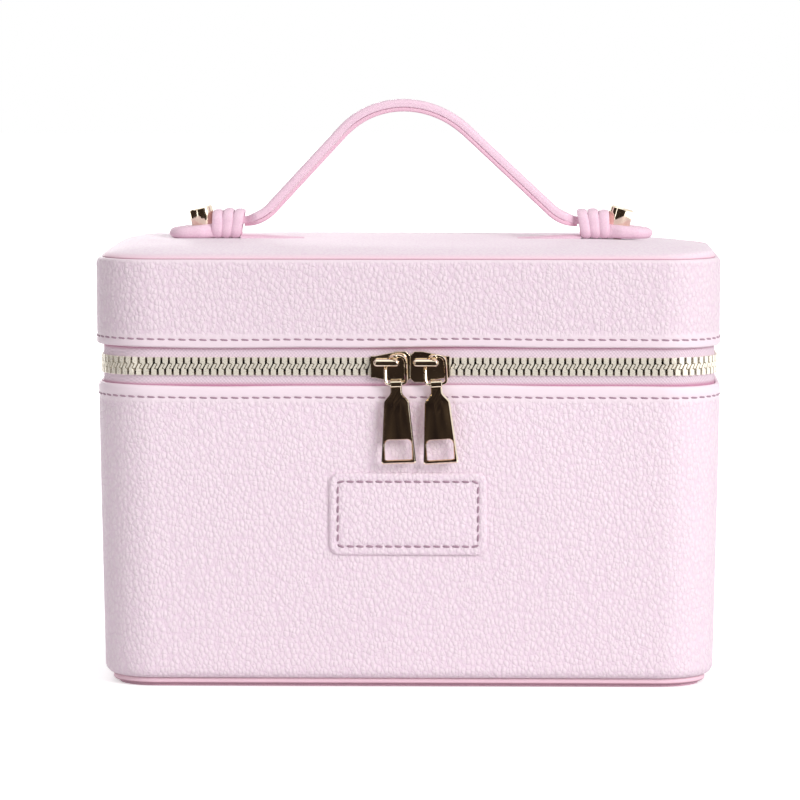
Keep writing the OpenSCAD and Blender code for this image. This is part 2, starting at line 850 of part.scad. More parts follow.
// the whole section, with round edges
module strap_section() {
    r = 1.6;
    square([strap_t - 2 * r, strap_w], center = true);
    square([strap_t, strap_w - 2 * r], center = true);
    for (sx = [-1, 1], sy = [-1, 1])
        translate([sx * (strap_half - r), sy * (strap_w / 2 - r)]) circle(r);
}

underside_t = 1.5;    // the thin lower layer
split_x = -strap_half + underside_t;

// the rolled ends that turn inside the keepers
module rolled_ends() {
    on_slope() translate([slope_l, 0, arch_mid + foot_mid]) rotate([0, -slope, 0])
        translate([-joint, 0, -foot_mid]) rotate([0, 90, 0])
            cylinder(r = rolled_r, h = rolled_end - strap_end + joint);
}

module handle_strap() {
    color(pink) {
        strap_sweep() intersection() {
            strap_section();
            translate([split_x, -strap_w]) square([strap_t, 2 * strap_w]);
        }
        rolled_ends();
    }
}

module handle_underside() {
    color(pink_deep) difference() {
        strap_sweep() intersection() {
            strap_section();
            translate([-strap_t + split_x, -strap_w]) square([strap_t, 2 * strap_w]);
        }
        // it stops short of the rolled ends
        for (side = [-1, 1]) on_side(side)
            translate([strap_end - 2 * joint, -strap_w, swing_z - strap_t])
                cube([4 * joint, 2 * strap_w, 2 * strap_t]);
    }
}

// ---- the nodes ----

body_wall();
body_board();
body_lining();
base_panel();
base_board();
base_piping();
front_patch();
hinge_strip_lower();
zipper_tape_lower();
zipper_teeth_lower();
zipper_end_stops();
lid_wall();
lid_band_board();
lid_top_panel();
lid_padding();
lid_top_board();
lid_lining();
hinge_strip_upper();
zipper_tape_upper();
zipper_teeth_upper();
handle_anchor_left();
handle_anchor_right();
keeper_wrap_left();
keeper_wrap_right();
stud_left();
stud_right();
stud_washer_left();
stud_washer_right();
stud_screw_left();
stud_screw_right();
handle_strap();
handle_underside();
slider_body_left();
slider_body_right();
slider_crown_left();
slider_crown_right();
pull_link_left();
pull_link_right();
pull_tab_left();
pull_tab_right();
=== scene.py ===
"""The looks of a leatherette makeup case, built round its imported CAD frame.

Lengths below are in millimetres and become metres where a mesh is made. Offsets from the case's
outline are outwards, so a depth inside the wall is negative.
"""

import math

import bmesh
import bpy
import numpy as np
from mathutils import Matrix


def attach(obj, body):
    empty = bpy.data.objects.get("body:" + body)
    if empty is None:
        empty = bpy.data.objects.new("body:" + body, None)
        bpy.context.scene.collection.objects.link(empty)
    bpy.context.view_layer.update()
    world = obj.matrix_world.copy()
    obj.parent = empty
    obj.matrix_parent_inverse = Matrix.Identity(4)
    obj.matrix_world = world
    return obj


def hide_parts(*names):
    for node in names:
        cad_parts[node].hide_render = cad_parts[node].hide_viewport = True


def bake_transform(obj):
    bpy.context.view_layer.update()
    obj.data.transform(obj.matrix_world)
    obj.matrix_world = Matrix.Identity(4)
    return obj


MM = 0.001
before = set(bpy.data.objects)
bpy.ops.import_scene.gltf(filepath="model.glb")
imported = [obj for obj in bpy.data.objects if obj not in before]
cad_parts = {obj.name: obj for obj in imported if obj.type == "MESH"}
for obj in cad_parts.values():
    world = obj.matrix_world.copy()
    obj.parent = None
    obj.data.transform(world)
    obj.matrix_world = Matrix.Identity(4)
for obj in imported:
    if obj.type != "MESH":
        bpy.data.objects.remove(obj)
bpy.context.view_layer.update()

# ---- sizes of the object, as its solids have them ----

CASE_W, CASE_D, CORNER_R = 222.0, 130.0, 21.5
BODY_H, LID_Z, LID_TOP = 108.0, 121.5, 152.5
ZIP_Z = (BODY_H + LID_Z) / 2
TAPER = 2.2
SKIN, BOARD_T, LINING_T, TAPE_T = 1.0, 2.0, 0.8, 0.6
WALL_T = SKIN + BOARD_T
HEM_H, CURL_R, ROLL_R, SEAM_IN = 8.0, 3.5, 1.5, 1.9
CROWN_H, EDGE_W = 4.8, 10.5
CROWN_Z = LID_TOP + CROWN_H - 0.6
PIPING_Z, PIPING_R, PIPING_IN = 1.0, 1.1, TAPER + 2.6
BASE_T = PIPING_Z + 2 * PIPING_R
FLOOR_Z = BASE_T + SKIN + BOARD_T
CEILING_Z = LID_TOP - 4.5
HINGE_HALF = 80.5
CHAIN_HALF = 3.25

PATCH_W, PATCH_H, PATCH_Z, PATCH_R = 56.0, 29.5, 62.5, 4.0

ARCH_TOP, ARCH_R, FOOT_R, SLOPE_L = 207.4, 31.8, 14.2, 40.4
STRAP_T, STRAP_W = 4.4, 10.0
SPLIT = -0.7
SLOPE = math.radians(45)
ARCH_Z = ARCH_TOP - STRAP_T / 2 - ARCH_R
SWING_Z = ARCH_Z + ARCH_R - (ARCH_R + FOOT_R) * (1 - math.cos(SLOPE)) - SLOPE_L * math.sin(SLOPE)
STRAP_END = (ARCH_R + FOOT_R) * math.sin(SLOPE) + SLOPE_L * math.cos(SLOPE)
NECK_R, NECK_END = 2.1, 69.6
KEEPER_IN, KEEPER_OUT, KEEPER_TOP, KEEPER_W = 61.5, 72.4, CROWN_Z + 10.4, 12.4
KEEPER_Z = (CROWN_Z + KEEPER_TOP) / 2
TURN_T = 1.1
TONGUE_T, TONGUE_W, TONGUE_END = 4.4, 14.0, 88.3
EYE_X = TONGUE_END - TONGUE_W / 2
TAIL_END, TAIL_T, TAIL_W = 39.0, 1.3, 8.2

BAR_Y, BAR_Z = -68.4, ZIP_Z + 1.65
MEET_X, SLIDER_L, CROWN_OFF, LINK_OFF = 0.8, 13.85, -1.4, 3.2
LINK_X = {s: MEET_X + s * (SLIDER_L / 2 + 0.05) + CROWN_OFF + LINK_OFF for s in (-1, 1)}
LINK_DROP, WIRE_R, ASKEW = 7.4, 0.55, {-1: 2.0, 1: 3.5}
TAB_L, TAB_W, TAB_T, NECK_HALF = 28.3, 12.2, 1.5, 2.0

STITCH_PITCH = 3.7
THREAD_R, ASLANT = 0.41, 0.09
DASH = 0.80  # the share of the pitch that a stitch takes up
BODY_ROW_Z = BODY_H - 4.1
LID_ROW_Z = LID_Z + 2.9
# mesh rows beside a stitched row: close together where the leather is drawn in
NEAR_ROW = np.array([-2.9, -1.7, -1.0, -0.5, -0.2, 0.0, 0.2, 0.5, 1.0, 1.7, 2.4])


def lean(z):
    """How far the lower box's wall has leaned in at a height."""
    return TAPER * (BODY_H - z) / BODY_H


def eased(u):
    u = np.clip(u, 0.0, 1.0)
    return u * u * (3 - 2 * u)


# ---- camera: at the photograph's viewing angle, in metres and degrees ----

CAMERA_AT = (0.027, -1.690, 0.2495)
LOOKS_DOWN, LOOKS_LEFT = 5.15, 1.05


def new_object(name, data):
    obj = bpy.data.objects.new(name, data)
    bpy.context.scene.collection.objects.link(obj)
    return obj


def mesh_object(name, points, faces):
    """A mesh object from points in metres."""
    mesh = bpy.data.meshes.new(name)
    mesh.from_pydata(points, [], faces)
    return new_object(name, mesh)


def make_camera():
    data = bpy.data.cameras.new("camera")
    data.sensor_width = 36.0
    data.lens = 208.1
    data.clip_end = 50.0
    camera = new_object("camera", data)
    camera.location = CAMERA_AT
    camera.rotation_euler = (math.radians(90 - LOOKS_DOWN), 0.0, math.radians(LOOKS_LEFT))
    bpy.context.scene.camera = camera


# ---- materials ----


class Nodes:
    """A node tree, with short calls for adding and joining nodes."""

    def __init__(self, owner, emptied=False):
        owner.use_nodes = True
        self.tree = owner.node_tree
        if emptied:
            self.tree.nodes.clear()

    def put(self, value, socket):
        """Joins a node's output to a socket, or sets a plain value on it."""
        if isinstance(value, bpy.types.NodeSocket):
            self.tree.links.new(value, socket)
        else:
            socket.default_value = value

    def add(self, kind, inputs=None, **settings):
        node = self.tree.nodes.new("ShaderNode" + kind)
        for key, value in settings.items():
            setattr(node, key, value)
        for socket, value in (inputs or {}).items():
            self.put(value, node.inputs[socket])
        return node

    def coordinates(self, x, y=None, z=None):
        """The piece's own coordinates, in cells of a size in millimetres along x, y and z."""
        scale = [1 / (MM * v) for v in (x, y or x, z or x)]
        at = self.add("TexCoord").outputs["Object"]
        return self.add("Mapping", {"Vector": at, "Scale": scale}).outputs["Vector"]

    def noise(self, at, scale=1.0, detail=2.0, result="Fac"):
        inputs = {"Vector": at, "Scale": scale, "Detail": detail}
        return self.add("TexNoise", inputs).outputs[result]

    def vector(self, operation, a, b):
        return self.add("VectorMath", {0: a, 1: b}, operation=operation).outputs["Vector"]

    def warped(self, at, scale, amount):
        centred = self.vector("SUBTRACT", self.noise(at, scale, result="Color"), (0.5, 0.5, 0.5))
        return self.vector("ADD", at, self.vector("MULTIPLY", centred, (amount,) * 3))

    def math(self, operation, a, b=0.0):
        return self.add("Math", {0: a, 1: b}, operation=operation).outputs["Value"]

    def apart(self, at):
        """A vector's x, y and z."""
        return self.add("SeparateXYZ", {0: at}).outputs.values()

    def heights(self):
        """The height above the floor, in millimetres."""
        return self.apart(self.coordinates(1))[2]

    def remap(self, value, low, high, to_low=0.0, to_high=1.0, smooth=False):
        names = ("Value", "From Min", "From Max", "To Min", "To Max")
        inputs = dict(zip(names, (value, low, high, to_low, to_high)))
        kind = "SMOOTHSTEP" if smooth else "LINEAR"
        return self.add("MapRange", inputs, interpolation_type=kind).outputs["Result"]

    def mix(self, share, a, b):
        return self.add("Mix", {0: share, 6: a, 7: b}, data_type="RGBA").outputs[2]

    def end_with(self, output, lighting, seen):
        """Ends the tree. Camera, mirrored and refracted rays see `seen`, all others `lighting`."""
        rays = self.add("LightPath").outputs
        share = self.math("MAXIMUM", rays["Is Camera Ray"], rays["Is Glossy Ray"])
        share = self.math("MAXIMUM", share, rays["Is Transmission Ray"])
        mix = self.add("MixShader", {0: share, 1: lighting.outputs[0], 2: seen.outputs[0]})
        self.add(output, {"Surface": mix.outputs[0]})


class Look(Nodes):
    """A material round one Principled shader."""

    def __init__(self, name, **shader_values):
        self.material = bpy.data.materials.new(name)
        super().__init__(self.material)
        self.shader = self.tree.nodes["Principled BSDF"]
        for socket, value in shader_values.items():
            self.feed(socket.replace("_", " "), value)

    def feed(self, socket, value):
        self.put(value, self.shader.inputs[socket])

    def tint(self, value, low, high, colour, darker):
        """The colour, darker by a factor where a value is low."""
        return self.mix(self.remap(value, low, high), shade(colour, darker), colour)

    def bump(self, height, depth, strength=1.0):
        """Bump of a depth in millimetres."""
        inputs = {"Height": height, "Distance": depth * MM, "Strength": strength}
        self.feed("Normal", self.add("Bump", inputs).outputs["Normal"])


def rgb(red, green, blue):
    return (red, green, blue, 1.0)


def shade(colour, factor):
    return rgb(*(c * factor for c in colour[:3]))


def leather(name, colour, cell=1.38, upright=1.45, depth=0.40, low=None, high=None, seam=None):
    """Leatherette: round pebbles, a little taller than wide, with finer wrinkles on them.

    Past the heights `low` and `high`, where it is folded and sewn, the grain is pressed flat.
    Up to just above a height `seam` it is painted dark, and higher up a deeper pink that fades out:
    painted shade in the crease at the top's seam, and painted contact shadow under the piping.
    """
    n = Look(name, IOR=1.42, Sheen_Weight=0.08, Sheen_Roughness=0.5, Sheen_Tint=SHEEN_PINK)
    at = n.warped(n.coordinates(cell, cell, cell * upright), 0.9, 0.5)
    inputs = {"Vector": at, "Scale": 1.0, "Smoothness": 0.3}
    cells = n.add("TexVoronoi", inputs, feature="SMOOTH_F1").outputs["Distance"]
    inputs = {"Vector": at, "Scale": 1.0}
    edges = n.add("TexVoronoi", inputs, feature="DISTANCE_TO_EDGE").outputs["Distance"]
    hollow = n.remap(cells, 0.12, 0.72)
    crease = n.remap(edges, 0.0, 0.14, 1.0, 0.0, smooth=True)
    sunk = 0.0
    for part, share in ((hollow, 0.58), (crease, 0.20), (n.noise(at, 2.6, 3.0), 0.42)):
        sunk = n.math("ADD", sunk, n.math("MULTIPLY", part, share))
    for limit, way in ((low, 1), (high, -1)):
        if limit is not None:
            past = n.remap(n.heights(), limit - way, limit + way, 0.06, 1.0, smooth=True)
            sunk = n.math("MULTIPLY", sunk, past)
    even = n.tint(n.noise(n.coordinates(38.0)), 0.35, 0.65, colour, 0.99)
    deep = rgb(colour[0] * 0.94, colour[1] * 0.89, colour[2] * 0.94)
    face = n.mix(n.remap(sunk, 0.45, 1.0), even, deep)
    # painted shade: a dark line at and just above the height `seam`, then a deeper pink fading out
    # upwards
    if seam is not None:
        z = n.heights()
        face = n.mix(n.remap(z, seam + 0.8, seam + 2.6, 0.8, 0.0, smooth=True), face, SHADE_PINK)
        face = n.mix(n.remap(z, seam + 0.35, seam + 0.95, 1.0, 0.0, smooth=True), face, SHADOW_DARK)
    n.feed("Base Color", face)
    n.feed("Roughness", n.remap(sunk, 0.2, 0.9, 0.50, 0.64))
    n.bump(n.math("SUBTRACT", 1.0, sunk), depth)
    return n.material


def plain_weave(n, thread):
    """The height of a plain weave of threads of a width: warp and weft pass over in turn."""
    at = n.warped(n.coordinates(thread), 0.3, 0.25)
    x, y, z = n.apart(at)
    warp = n.math("SINE", n.math("MULTIPLY", n.math("ADD", x, y), math.pi))
    weft = n.math("SINE", n.math("MULTIPLY", z, math.pi))
    over = n.remap(n.math("MULTIPLY", warp, weft), -1.0, 1.0, 0.0, 0.8)
    return n.math("ADD", over, n.math("MULTIPLY", n.noise(at, 1.7, 3.0), 0.4))


def woven(name, colour):
    n = Look(name, Roughness=0.85, Sheen_Weight=0.25, Sheen_Roughness=0.4)
    height = plain_weave(n, 0.5)
    n.feed("Base Color", n.tint(height, 0.2, 0.9, colour, 0.86))
    n.bump(height, 0.1, 0.8)
    return n.material


def zip_tape(name, colour):
    """Woven tape, painted darker where it goes behind the hems and dark brown between the teeth's
    legs, as painted shade.
    """
    n = Look(name, Roughness=0.85, Sheen_Weight=0.2, Sheen_Roughness=0.4)
    height = plain_weave(n, 0.62)
    face = n.tint(height, 0.2, 0.9, colour, 0.84)
    off = n.math("ABSOLUTE", n.math("SUBTRACT", n.heights(), ZIP_Z))
    # painted shade where the tape goes under the hems' overhang
    face = n.mix(n.remap(off, 5.3, 6.9, smooth=True), face, TAPE_HEM_SHADE)
    # painted shade: dark brown in the slots between the teeth's legs
    n.feed("Base Color", n.mix(n.remap(off, 2.9, 3.3, 1.0, 0.0), face, TAPE_SLOT_SHADE))
    n.bump(height, 0.14, 0.9)
    return n.material


def plated(name, colour, roughness, scratches, metallic=1.0):
    """Polished plated metal, with fine rubbed marks and a slow unevenness of the plating."""
    n = Look(name, Metallic=metallic)
    marks = n.noise(n.coordinates(0.9, 0.9, 0.25), detail=4.0)
    n.feed("Base Color", n.tint(n.noise(n.coordinates(4.0), detail=1.0), 0.3, 0.7, colour, 0.93))
    n.feed("Roughness", n.remap(marks, 0.3, 0.75, roughness * 0.8, roughness * 1.5))
    n.bump(marks, 0.01, scratches)
    return n.material


def fibreboard(name, colour):
    n = Look(name, Roughness=0.9)
    fibre = n.noise(n.coordinates(0.8), detail=5.0)
    n.feed("Base Color", n.tint(fibre, 0.3, 0.7, colour, 0.8))
    n.bump(fibre, 0.1, 0.5)
    return n.material


def twisted(name, colour):
    """Sewing thread: two plies twisted round each other."""
    n = Look(name, Roughness=0.6, Sheen_Weight=0.2)
    x, y, z = n.apart(n.coordinates(0.32))
    slant = n.math("ADD", n.math("ADD", x, y), z)
    ply = n.remap(n.math("SINE", n.math("MULTIPLY", slant, math.pi)), -1.0, 1.0)
    n.feed("Base Color", n.tint(ply, 0.0, 1.0, colour, 0.75))
    n.bump(ply, 0.06, 0.7)
    return n.material


SHEEN_PINK = rgb(1.0, 0.93, 0.97)
PINK = rgb(0.850, 0.710, 0.782)
# painted shade: the lid's band in a darker copy of the body's pink
PINK_LID_SHADED = rgb(0.795, 0.660, 0.728)
PINK_TOP = rgb(0.850, 0.730, 0.790)
PINK_STRAP = rgb(0.810, 0.590, 0.685)
PINK_DEEP = rgb(0.800, 0.510, 0.615)
PINK_CORD = rgb(0.850, 0.620, 0.680)
# painted shade: a deeper pink and a dark line, laid on leather just above a given height
SHADE_PINK = rgb(0.820, 0.560, 0.650)
SHADOW_DARK = rgb(0.420, 0.190, 0.260)
TAPE_PINK = rgb(0.760, 0.610, 0.690)
# painted shade on the tape: under the hems' overhang, then dark brown between the teeth's legs
TAPE_HEM_SHADE = rgb(0.560, 0.260, 0.380)
TAPE_SLOT_SHADE = rgb(0.075, 0.052, 0.034)
LINING_ROSE = rgb(0.780, 0.560, 0.660)
THREAD_MAUVE = rgb(0.430, 0.270, 0.350)
GOLD = rgb(0.930, 0.800, 0.630)
GOLD_PALE = rgb(0.940, 0.870, 0.750)
BOARD_GREY = rgb(0.480, 0.440, 0.380)

FINE_GRAIN = {"cell": 0.7, "upright": 1.0, "depth": 0.03}
# each look's slot in the record, and its material
LOOKS = {
    "body": ("leather", leather("leather_body", PINK, high=BODY_ROW_Z - 1.5)),
    "lid": (
        "leather",
        leather("leather_lid", PINK_LID_SHADED, low=LID_ROW_Z + 1.5, high=LID_TOP - 0.6),
    ),
    "patch": ("leather", leather("leather_patch", PINK)),
    # painted shade in the crease where the top goes under the roll
    "top": (
        "leather",
        leather("leather_top", PINK_TOP, cell=1.1, upright=1.0, depth=0.05, seam=LID_TOP - 0.4),
    ),
    "strap": ("leather", leather("leather_strap", PINK_STRAP, cell=0.6, upright=1.0, depth=0.025)),
    "trim": ("leather_trim", leather("leather_trim", PINK_DEEP, **FINE_GRAIN)),
    # painted contact shadow: the piping's lower edge dark, with a deeper pink above it
    "cord": (
        "leather_trim",
        leather("leather_cord", PINK_CORD, seam=PIPING_Z - 0.1, **FINE_GRAIN),
    ),
    "tape": ("zip_tape", zip_tape("tape_weave", TAPE_PINK)),
    "lining": ("lining_cloth", woven("lining_weave", LINING_ROSE)),
    "thread": ("leather_trim", twisted("thread_mauve", THREAD_MAUVE)),
    "gold": ("gold_metal", plated("gold_plate", GOLD, 0.08, 0.08)),
    "zip": ("zip_metal", plated("pale_gold_teeth", GOLD_PALE, 0.28, 0.10, metallic=0.35)),
    "screw": ("screw_metal", plated("pale_gold_screws", GOLD_PALE, 0.30, 0.25)),
    "board": ("stiff_board", fibreboard("fibreboard", BOARD_GREY)),
}


# ---- meshes ----


def grid_faces(rows, cols, wrap_rows=False, wrap_cols=False, first=0):
    """Quads over a grid of points that are numbered row by row."""
    r = np.arange(rows if wrap_rows else rows - 1)
    c = np.arange(cols if wrap_cols else cols - 1)
    r, c = np.meshgrid(r, c, indexing="ij")
    below, beside = (r + 1) % rows, (c + 1) % cols
    quads = [r * cols + c, below * cols + c, below * cols + beside, r * cols + beside]
    return (np.stack(quads, -1).reshape(-1, 4) + first).tolist()


def ring_faces(rings, first=0):
    """Quads over closed rings of points, the last of which joins the first."""
    return grid_faces(len(rings), len(rings[0]), wrap_rows=True, wrap_cols=True, first=first)


def end_faces(rows, cols, first=0):
    """The two faces that close a tube of points at its ends."""
    last = first + (rows - 1) * cols
    return [[first + c for c in range(cols)], [last + c for c in range(cols)]]


def add_piece(name, points, faces, look, body, sharp=40.0):
    """A piece from points in millimetres, with its material, riding on a CAD body."""
    obj = mesh_object(name, (np.asarray(points, float) * MM).tolist(), faces)
    mesh = obj.data
    bm = bmesh.new()
    bm.from_mesh(mesh)
    bmesh.ops.recalc_face_normals(bm, faces=bm.faces)
    bm.to_mesh(mesh)
    bm.free()
    mesh.polygons.foreach_set("use_smooth", [True] * len(mesh.polygons))
    mesh.set_sharp_from_angle(angle=math.radians(sharp))
    slot, material = LOOKS[look]
    mesh.materials.append(material)
    if body:
        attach(obj, body)
    return obj


def outline(width, depth, radius, count, gap=0.0):
    """Points, outward normals and distances along a rectangle with round corners.

    The walk is clockwise from the middle of the back. With a gap there, it is an open line.
    """
    half_w, half_d = width / 2 - radius, depth / 2 - radius
    quarter = math.pi / 2 * radius
    half_round = [half_w, quarter, 2 * half_d, quarter, half_w]
    ends = np.cumsum(half_round[:-1] + [2 * half_w] + half_round[1:])
    total = ends[-1]
    s = np.linspace(gap / 2, total - gap / 2, count, endpoint=gap > 0)
    # nine runs, in turn straight and round
    run = np.minimum(np.searchsorted(ends, s, side="right"), len(ends) - 1)
    t = s - np.concatenate([[0.0], ends])[run]
    bends = run % 2 == 1
    a = math.pi / 2 * (1 - run // 2) - np.where(bends, t / radius, 0.0)
    normals = np.stack([np.cos(a), np.sin(a)], -1)
    ways = np.stack([np.sin(a), -np.cos(a)], -1)
    corners = np.array([(0, 1), (1, 1), (1, -1), (-1, -1), (-1, 1)]) * (half_w, half_d)
    along = ways * np.where(bends, 0.0, t)[:, None]
    points = corners[(run + 1) // 2] + radius * normals + along
    return points, normals, s, total


def case_outline(count, gap=0.0):
    return outline(CASE_W, CASE_D, CORNER_R, count, gap)


GIRTH = case_outline(8)[3]
ROW_COUNT = round(GIRTH / STITCH_PITCH)
ROW_PITCH = GIRTH / ROW_COUNT


def sweep(name, path, profile, look, body, swell=None, sway=None, closed=True):
    """A closed profile of (offset, height, weight) points carried along an outline.

    `swell` moves it outwards and `sway` upwards, by a point's weight.
    """
    points, normals, s, _ = path
    out, up, weight = np.array([p if len(p) > 2 else (*p, 1.0) for p in profile]).T
    shape = (len(s), len(profile))
    offset, height = np.zeros(shape) + out, np.zeros(shape) + up
    if swell:
        offset += swell(s[:, None], up) * weight
    if sway:
        height += sway(s[:, None], up) * weight
    (x, y), (nx, ny) = points.T[..., None], normals.T[..., None]
    verts = np.stack([x + nx * offset, y + ny * offset, height], -1).reshape(-1, 3)
    faces = grid_faces(*shape, wrap_rows=closed, wrap_cols=True)
    if not closed:
        faces += end_faces(*shape)
    return add_piece(name, verts, faces, look, body)


def arc(centre, radius, start, end, count):
    """Points on an arc between two angles in degrees."""
    a = np.radians(np.linspace(start, end, count))
    return [(centre[0] + radius * math.cos(v), centre[1] + radius * math.sin(v)) for v in a]


def round_section(half_w, low, high, r_low, r_high, low_count=6):
    """(Across, up) points round a section, with corner radii of its own below and above."""
    top, bottom = high - r_high, low + r_low
    return np.array(
        arc((half_w - r_high, top), r_high, 0, 90, 6)
        + arc((r_high - half_w, top), r_high, 90, 180, 6)
        + arc((r_low - half_w, bottom), r_low, 180, 270, low_count)
        + arc((half_w - r_low, bottom), r_low, 270, 360, low_count)
    )


def weighted(points, weight):
    return [(o, z, weight) for o, z in points]


def spread(half, edges, step):
    """Grid lines across a panel: close together near its edges, then at an even step."""
    inner = half - edges[-1]
    middle = np.linspace(-inner, inner, max(2, math.ceil(2 * inner / step) + 1))
    near = half - np.array(edges[:-1])
    return np.concatenate([-near, middle, near[::-1]])


def round_grid(width, depth, radius, edges, step):
    """A grid over a rectangle with round corners: x, y and distance to the edge of each point."""
    x, y = spread(width / 2, edges, step), spread(depth / 2, edges, step)
    x, y = np.meshgrid(x, y, indexing="ij")
    core_x, core_y = width / 2 - radius, depth / 2 - radius
    u = np.maximum(np.abs(x) - core_x, 0) / radius
    v = np.maximum(np.abs(y) - core_y, 0) / radius
    corner = (u > 0) & (v > 0)
    new_x = core_x + radius * u * np.sqrt(1 - v * v / 2)
    new_y = core_y + radius * v * np.sqrt(1 - u * u / 2)
    x = np.where(corner, np.sign(x) * new_x, x)
    y = np.where(corner, np.sign(y) * new_y, y)
    past_x, past_y = np.abs(x) - core_x, np.abs(y) - core_y
    outside = np.hypot(np.maximum(past_x, 0), np.maximum(past_y, 0))
    return x, y, radius - outside - np.minimum(np.maximum(past_x, past_y), 0)


def case_grid(margin, edges, step):
    """The same over the whole case, less a margin all round."""
    return round_grid(CASE_W - 2 * margin, CASE_D - 2 * margin, CORNER_R - margin, edges, step)


def slab(name, lower, upper, look, body):
    """A closed piece between two surfaces, each a grid of points."""
    rows, cols = lower.shape[:2]
    verts = np.concatenate([lower.reshape(-1, 3), upper.reshape(-1, 3)])
    faces = grid_faces(rows, cols) + grid_faces(rows, cols, first=rows * cols)
    index = np.arange(rows * cols).reshape(rows, cols)
    rim = np.concatenate([index[0, :], index[1:, -1], index[-1, -2::-1], index[-2:0:-1, 0]])
    for a, b in zip(rim, np.roll(rim, -1)):
        faces.append([int(a), int(b), int(b + rows * cols), int(a + rows * cols)])
    return add_piece(name, verts, faces, look, body)


def surface(x, y, z):
    return np.stack(np.broadcast_arrays(x, y, z), -1)


def stitches(name, centres, along, out, body, dash):
    """One mesh of short raised threads, a little aslant, whose ends dip into the leather."""
    rings, sides = np.linspace(-1, 1, 7), 6
    verts, faces = [], []
    turn = 2 * math.pi * np.arange(sides) / sides
    for centre, way, up in zip(centres, along, out):
        side = np.cross(way, up)
        first = len(verts)
        for t in rings:
            r = THREAD_R * math.sqrt(max(0.08, 1 - t**4))
            mid = centre + (way + ASLANT * side) * (t * dash / 2) + up * (0.20 * (1 - t**4) - 0.14)
            verts += [mid + r * (math.cos(a) * side + math.sin(a) * up) for a in turn]
        faces += grid_faces(len(rings), sides, wrap_cols=True, first=first)
        faces += end_faces(len(rings), sides, first)
    add_piece(name, verts, faces, "thread", body, sharp=70)


# ---- the leather walls, with their hems and stitched rows ----


def soft_swell(s, z):
    """The slow unevenness of leather over board, and the lid's fuller left side."""
    full = 1.1 * np.exp(-(((s - 0.75 * GIRTH) / 62) ** 2)) * (z > LID_Z - 1)
    return full + 0.10 * np.sin(s / 31.0 + z / 47.0) + 0.07 * np.sin(s / 13.0 - z / 19.0 + 1.3)


def hem_swell(row_z):
    """Leather drawn in along a stitched row, most at the needle's holes."""

    def swell(s, z):
        near = np.exp(-(((z - row_z) / 0.75) ** 2))
        hole = 0.5 + 0.5 * np.cos(2 * math.pi * s / ROW_PITCH)
        return soft_swell(s, z) - near * (0.22 + 0.18 * hole)

    return swell


def hem_sway(hem_z):
    """A folded hem isn't quite straight: it rises and falls a little along the zip."""

    def sway(s, z):
        near = np.exp(-(((z - hem_z) / 7.0) ** 2))
        return near * (0.22 * np.sin(s / 24.0 + 1.0) + 0.12 * np.sin(s / 9.5))

    return sway


def row_of_stitches(name, row_z, hem_z, offset, body):
    """Stitches along an outline: each lies between two of the needle's holes."""
    p, n, s, _ = case_outline(ROW_COUNT * 2)
    p, n, s = p[1::2], n[1::2], s[1::2]
    depth = offset + soft_swell(s, row_z) - 0.24
    height = row_z + hem_sway(hem_z)(s, row_z)
    (x, y), (nx, ny), level = p.T, n.T, np.zeros(len(s))
    centres = np.stack([x + nx * depth, y + ny * depth, height], -1)
    along, out = np.stack([ny, -nx, level], -1), np.stack([nx, ny, level], -1)
    stitches(name, centres, along, out, body, dash=ROW_PITCH * DASH)


def make_walls():
    path = case_outline(ROW_COUNT * 4)

    curl = (-lean(BASE_T + CURL_R) - CURL_R, BASE_T + CURL_R)
    under = curl[0] - 6  # where the leather ends, under the base
    rows = np.concatenate([np.linspace(9, BODY_ROW_Z - 4.5, 19), BODY_ROW_Z + NEAR_ROW])
    hem = np.interp(rows - BODY_ROW_Z, [-1.0, 0.3, 2.1], [0.0, 0.20, 0.08])
    back = [(BODY_H - HEM_H, 2 * SKIN), (BODY_H - HEM_H, SKIN), (60, SKIN)]
    profile = (
        weighted([(under, BASE_T), (under + 3, BASE_T)], 0)
        + weighted(arc(curl, CURL_R, -90, 0, 9), 0.3)
        + [(-lean(z) + h, z, 1.0) for z, h in zip(rows, hem)]
        + weighted(arc((-SKIN, BODY_H - SKIN), SKIN, 0, 180, 9), 1)
        + weighted([(-lean(z) - depth, z) for z, depth in back], 0)
        + weighted(arc(curl, CURL_R - SKIN, 0, -90, 6), 0)
        + weighted([(under, BASE_T + SKIN)], 0)
    )
    swell, sway = hem_swell(BODY_ROW_Z), hem_sway(BODY_H)
    wall = sweep("body_leather", path, profile, "body", "case", swell, sway)
    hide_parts("body_wall")
    row_of_stitches("body_thread", BODY_ROW_Z, BODY_H, -lean(BODY_ROW_Z), "case")

    top_roll = (-ROLL_R, LID_TOP - ROLL_R)
    roll_end = math.degrees(math.acos((ROLL_R - SEAM_IN) / ROLL_R))
    rows = np.concatenate([LID_ROW_Z - NEAR_ROW[::-1], np.linspace(129.5, LID_TOP - 2.3, 10)])
    hem = np.interp(rows - LID_ROW_Z, [-2.1, -0.3, 1.0], [0.08, 0.20, 0.0])
    profile = (
        weighted(arc((-SKIN, LID_Z + SKIN), SKIN, 180, 360, 9), 1)
        + [(h, z, 1.0) for z, h in zip(rows, hem)]
        + weighted(arc(top_roll, ROLL_R, 0, roll_end, 12), 0.6)
        + weighted(arc(top_roll, ROLL_R - SKIN, 140, 0, 8), 0)
        + weighted([(-SKIN, LID_Z + HEM_H), (-2 * SKIN, LID_Z + HEM_H)], 0)
    )
    swell, sway = hem_swell(LID_ROW_Z), hem_sway(LID_Z)
    band = sweep("lid_leather", path, profile, "lid", "lid", swell, sway)
    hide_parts("lid_wall")
    row_of_stitches("lid_thread", LID_ROW_Z, LID_Z, 0.0, "lid")


# ---- the padded top ----


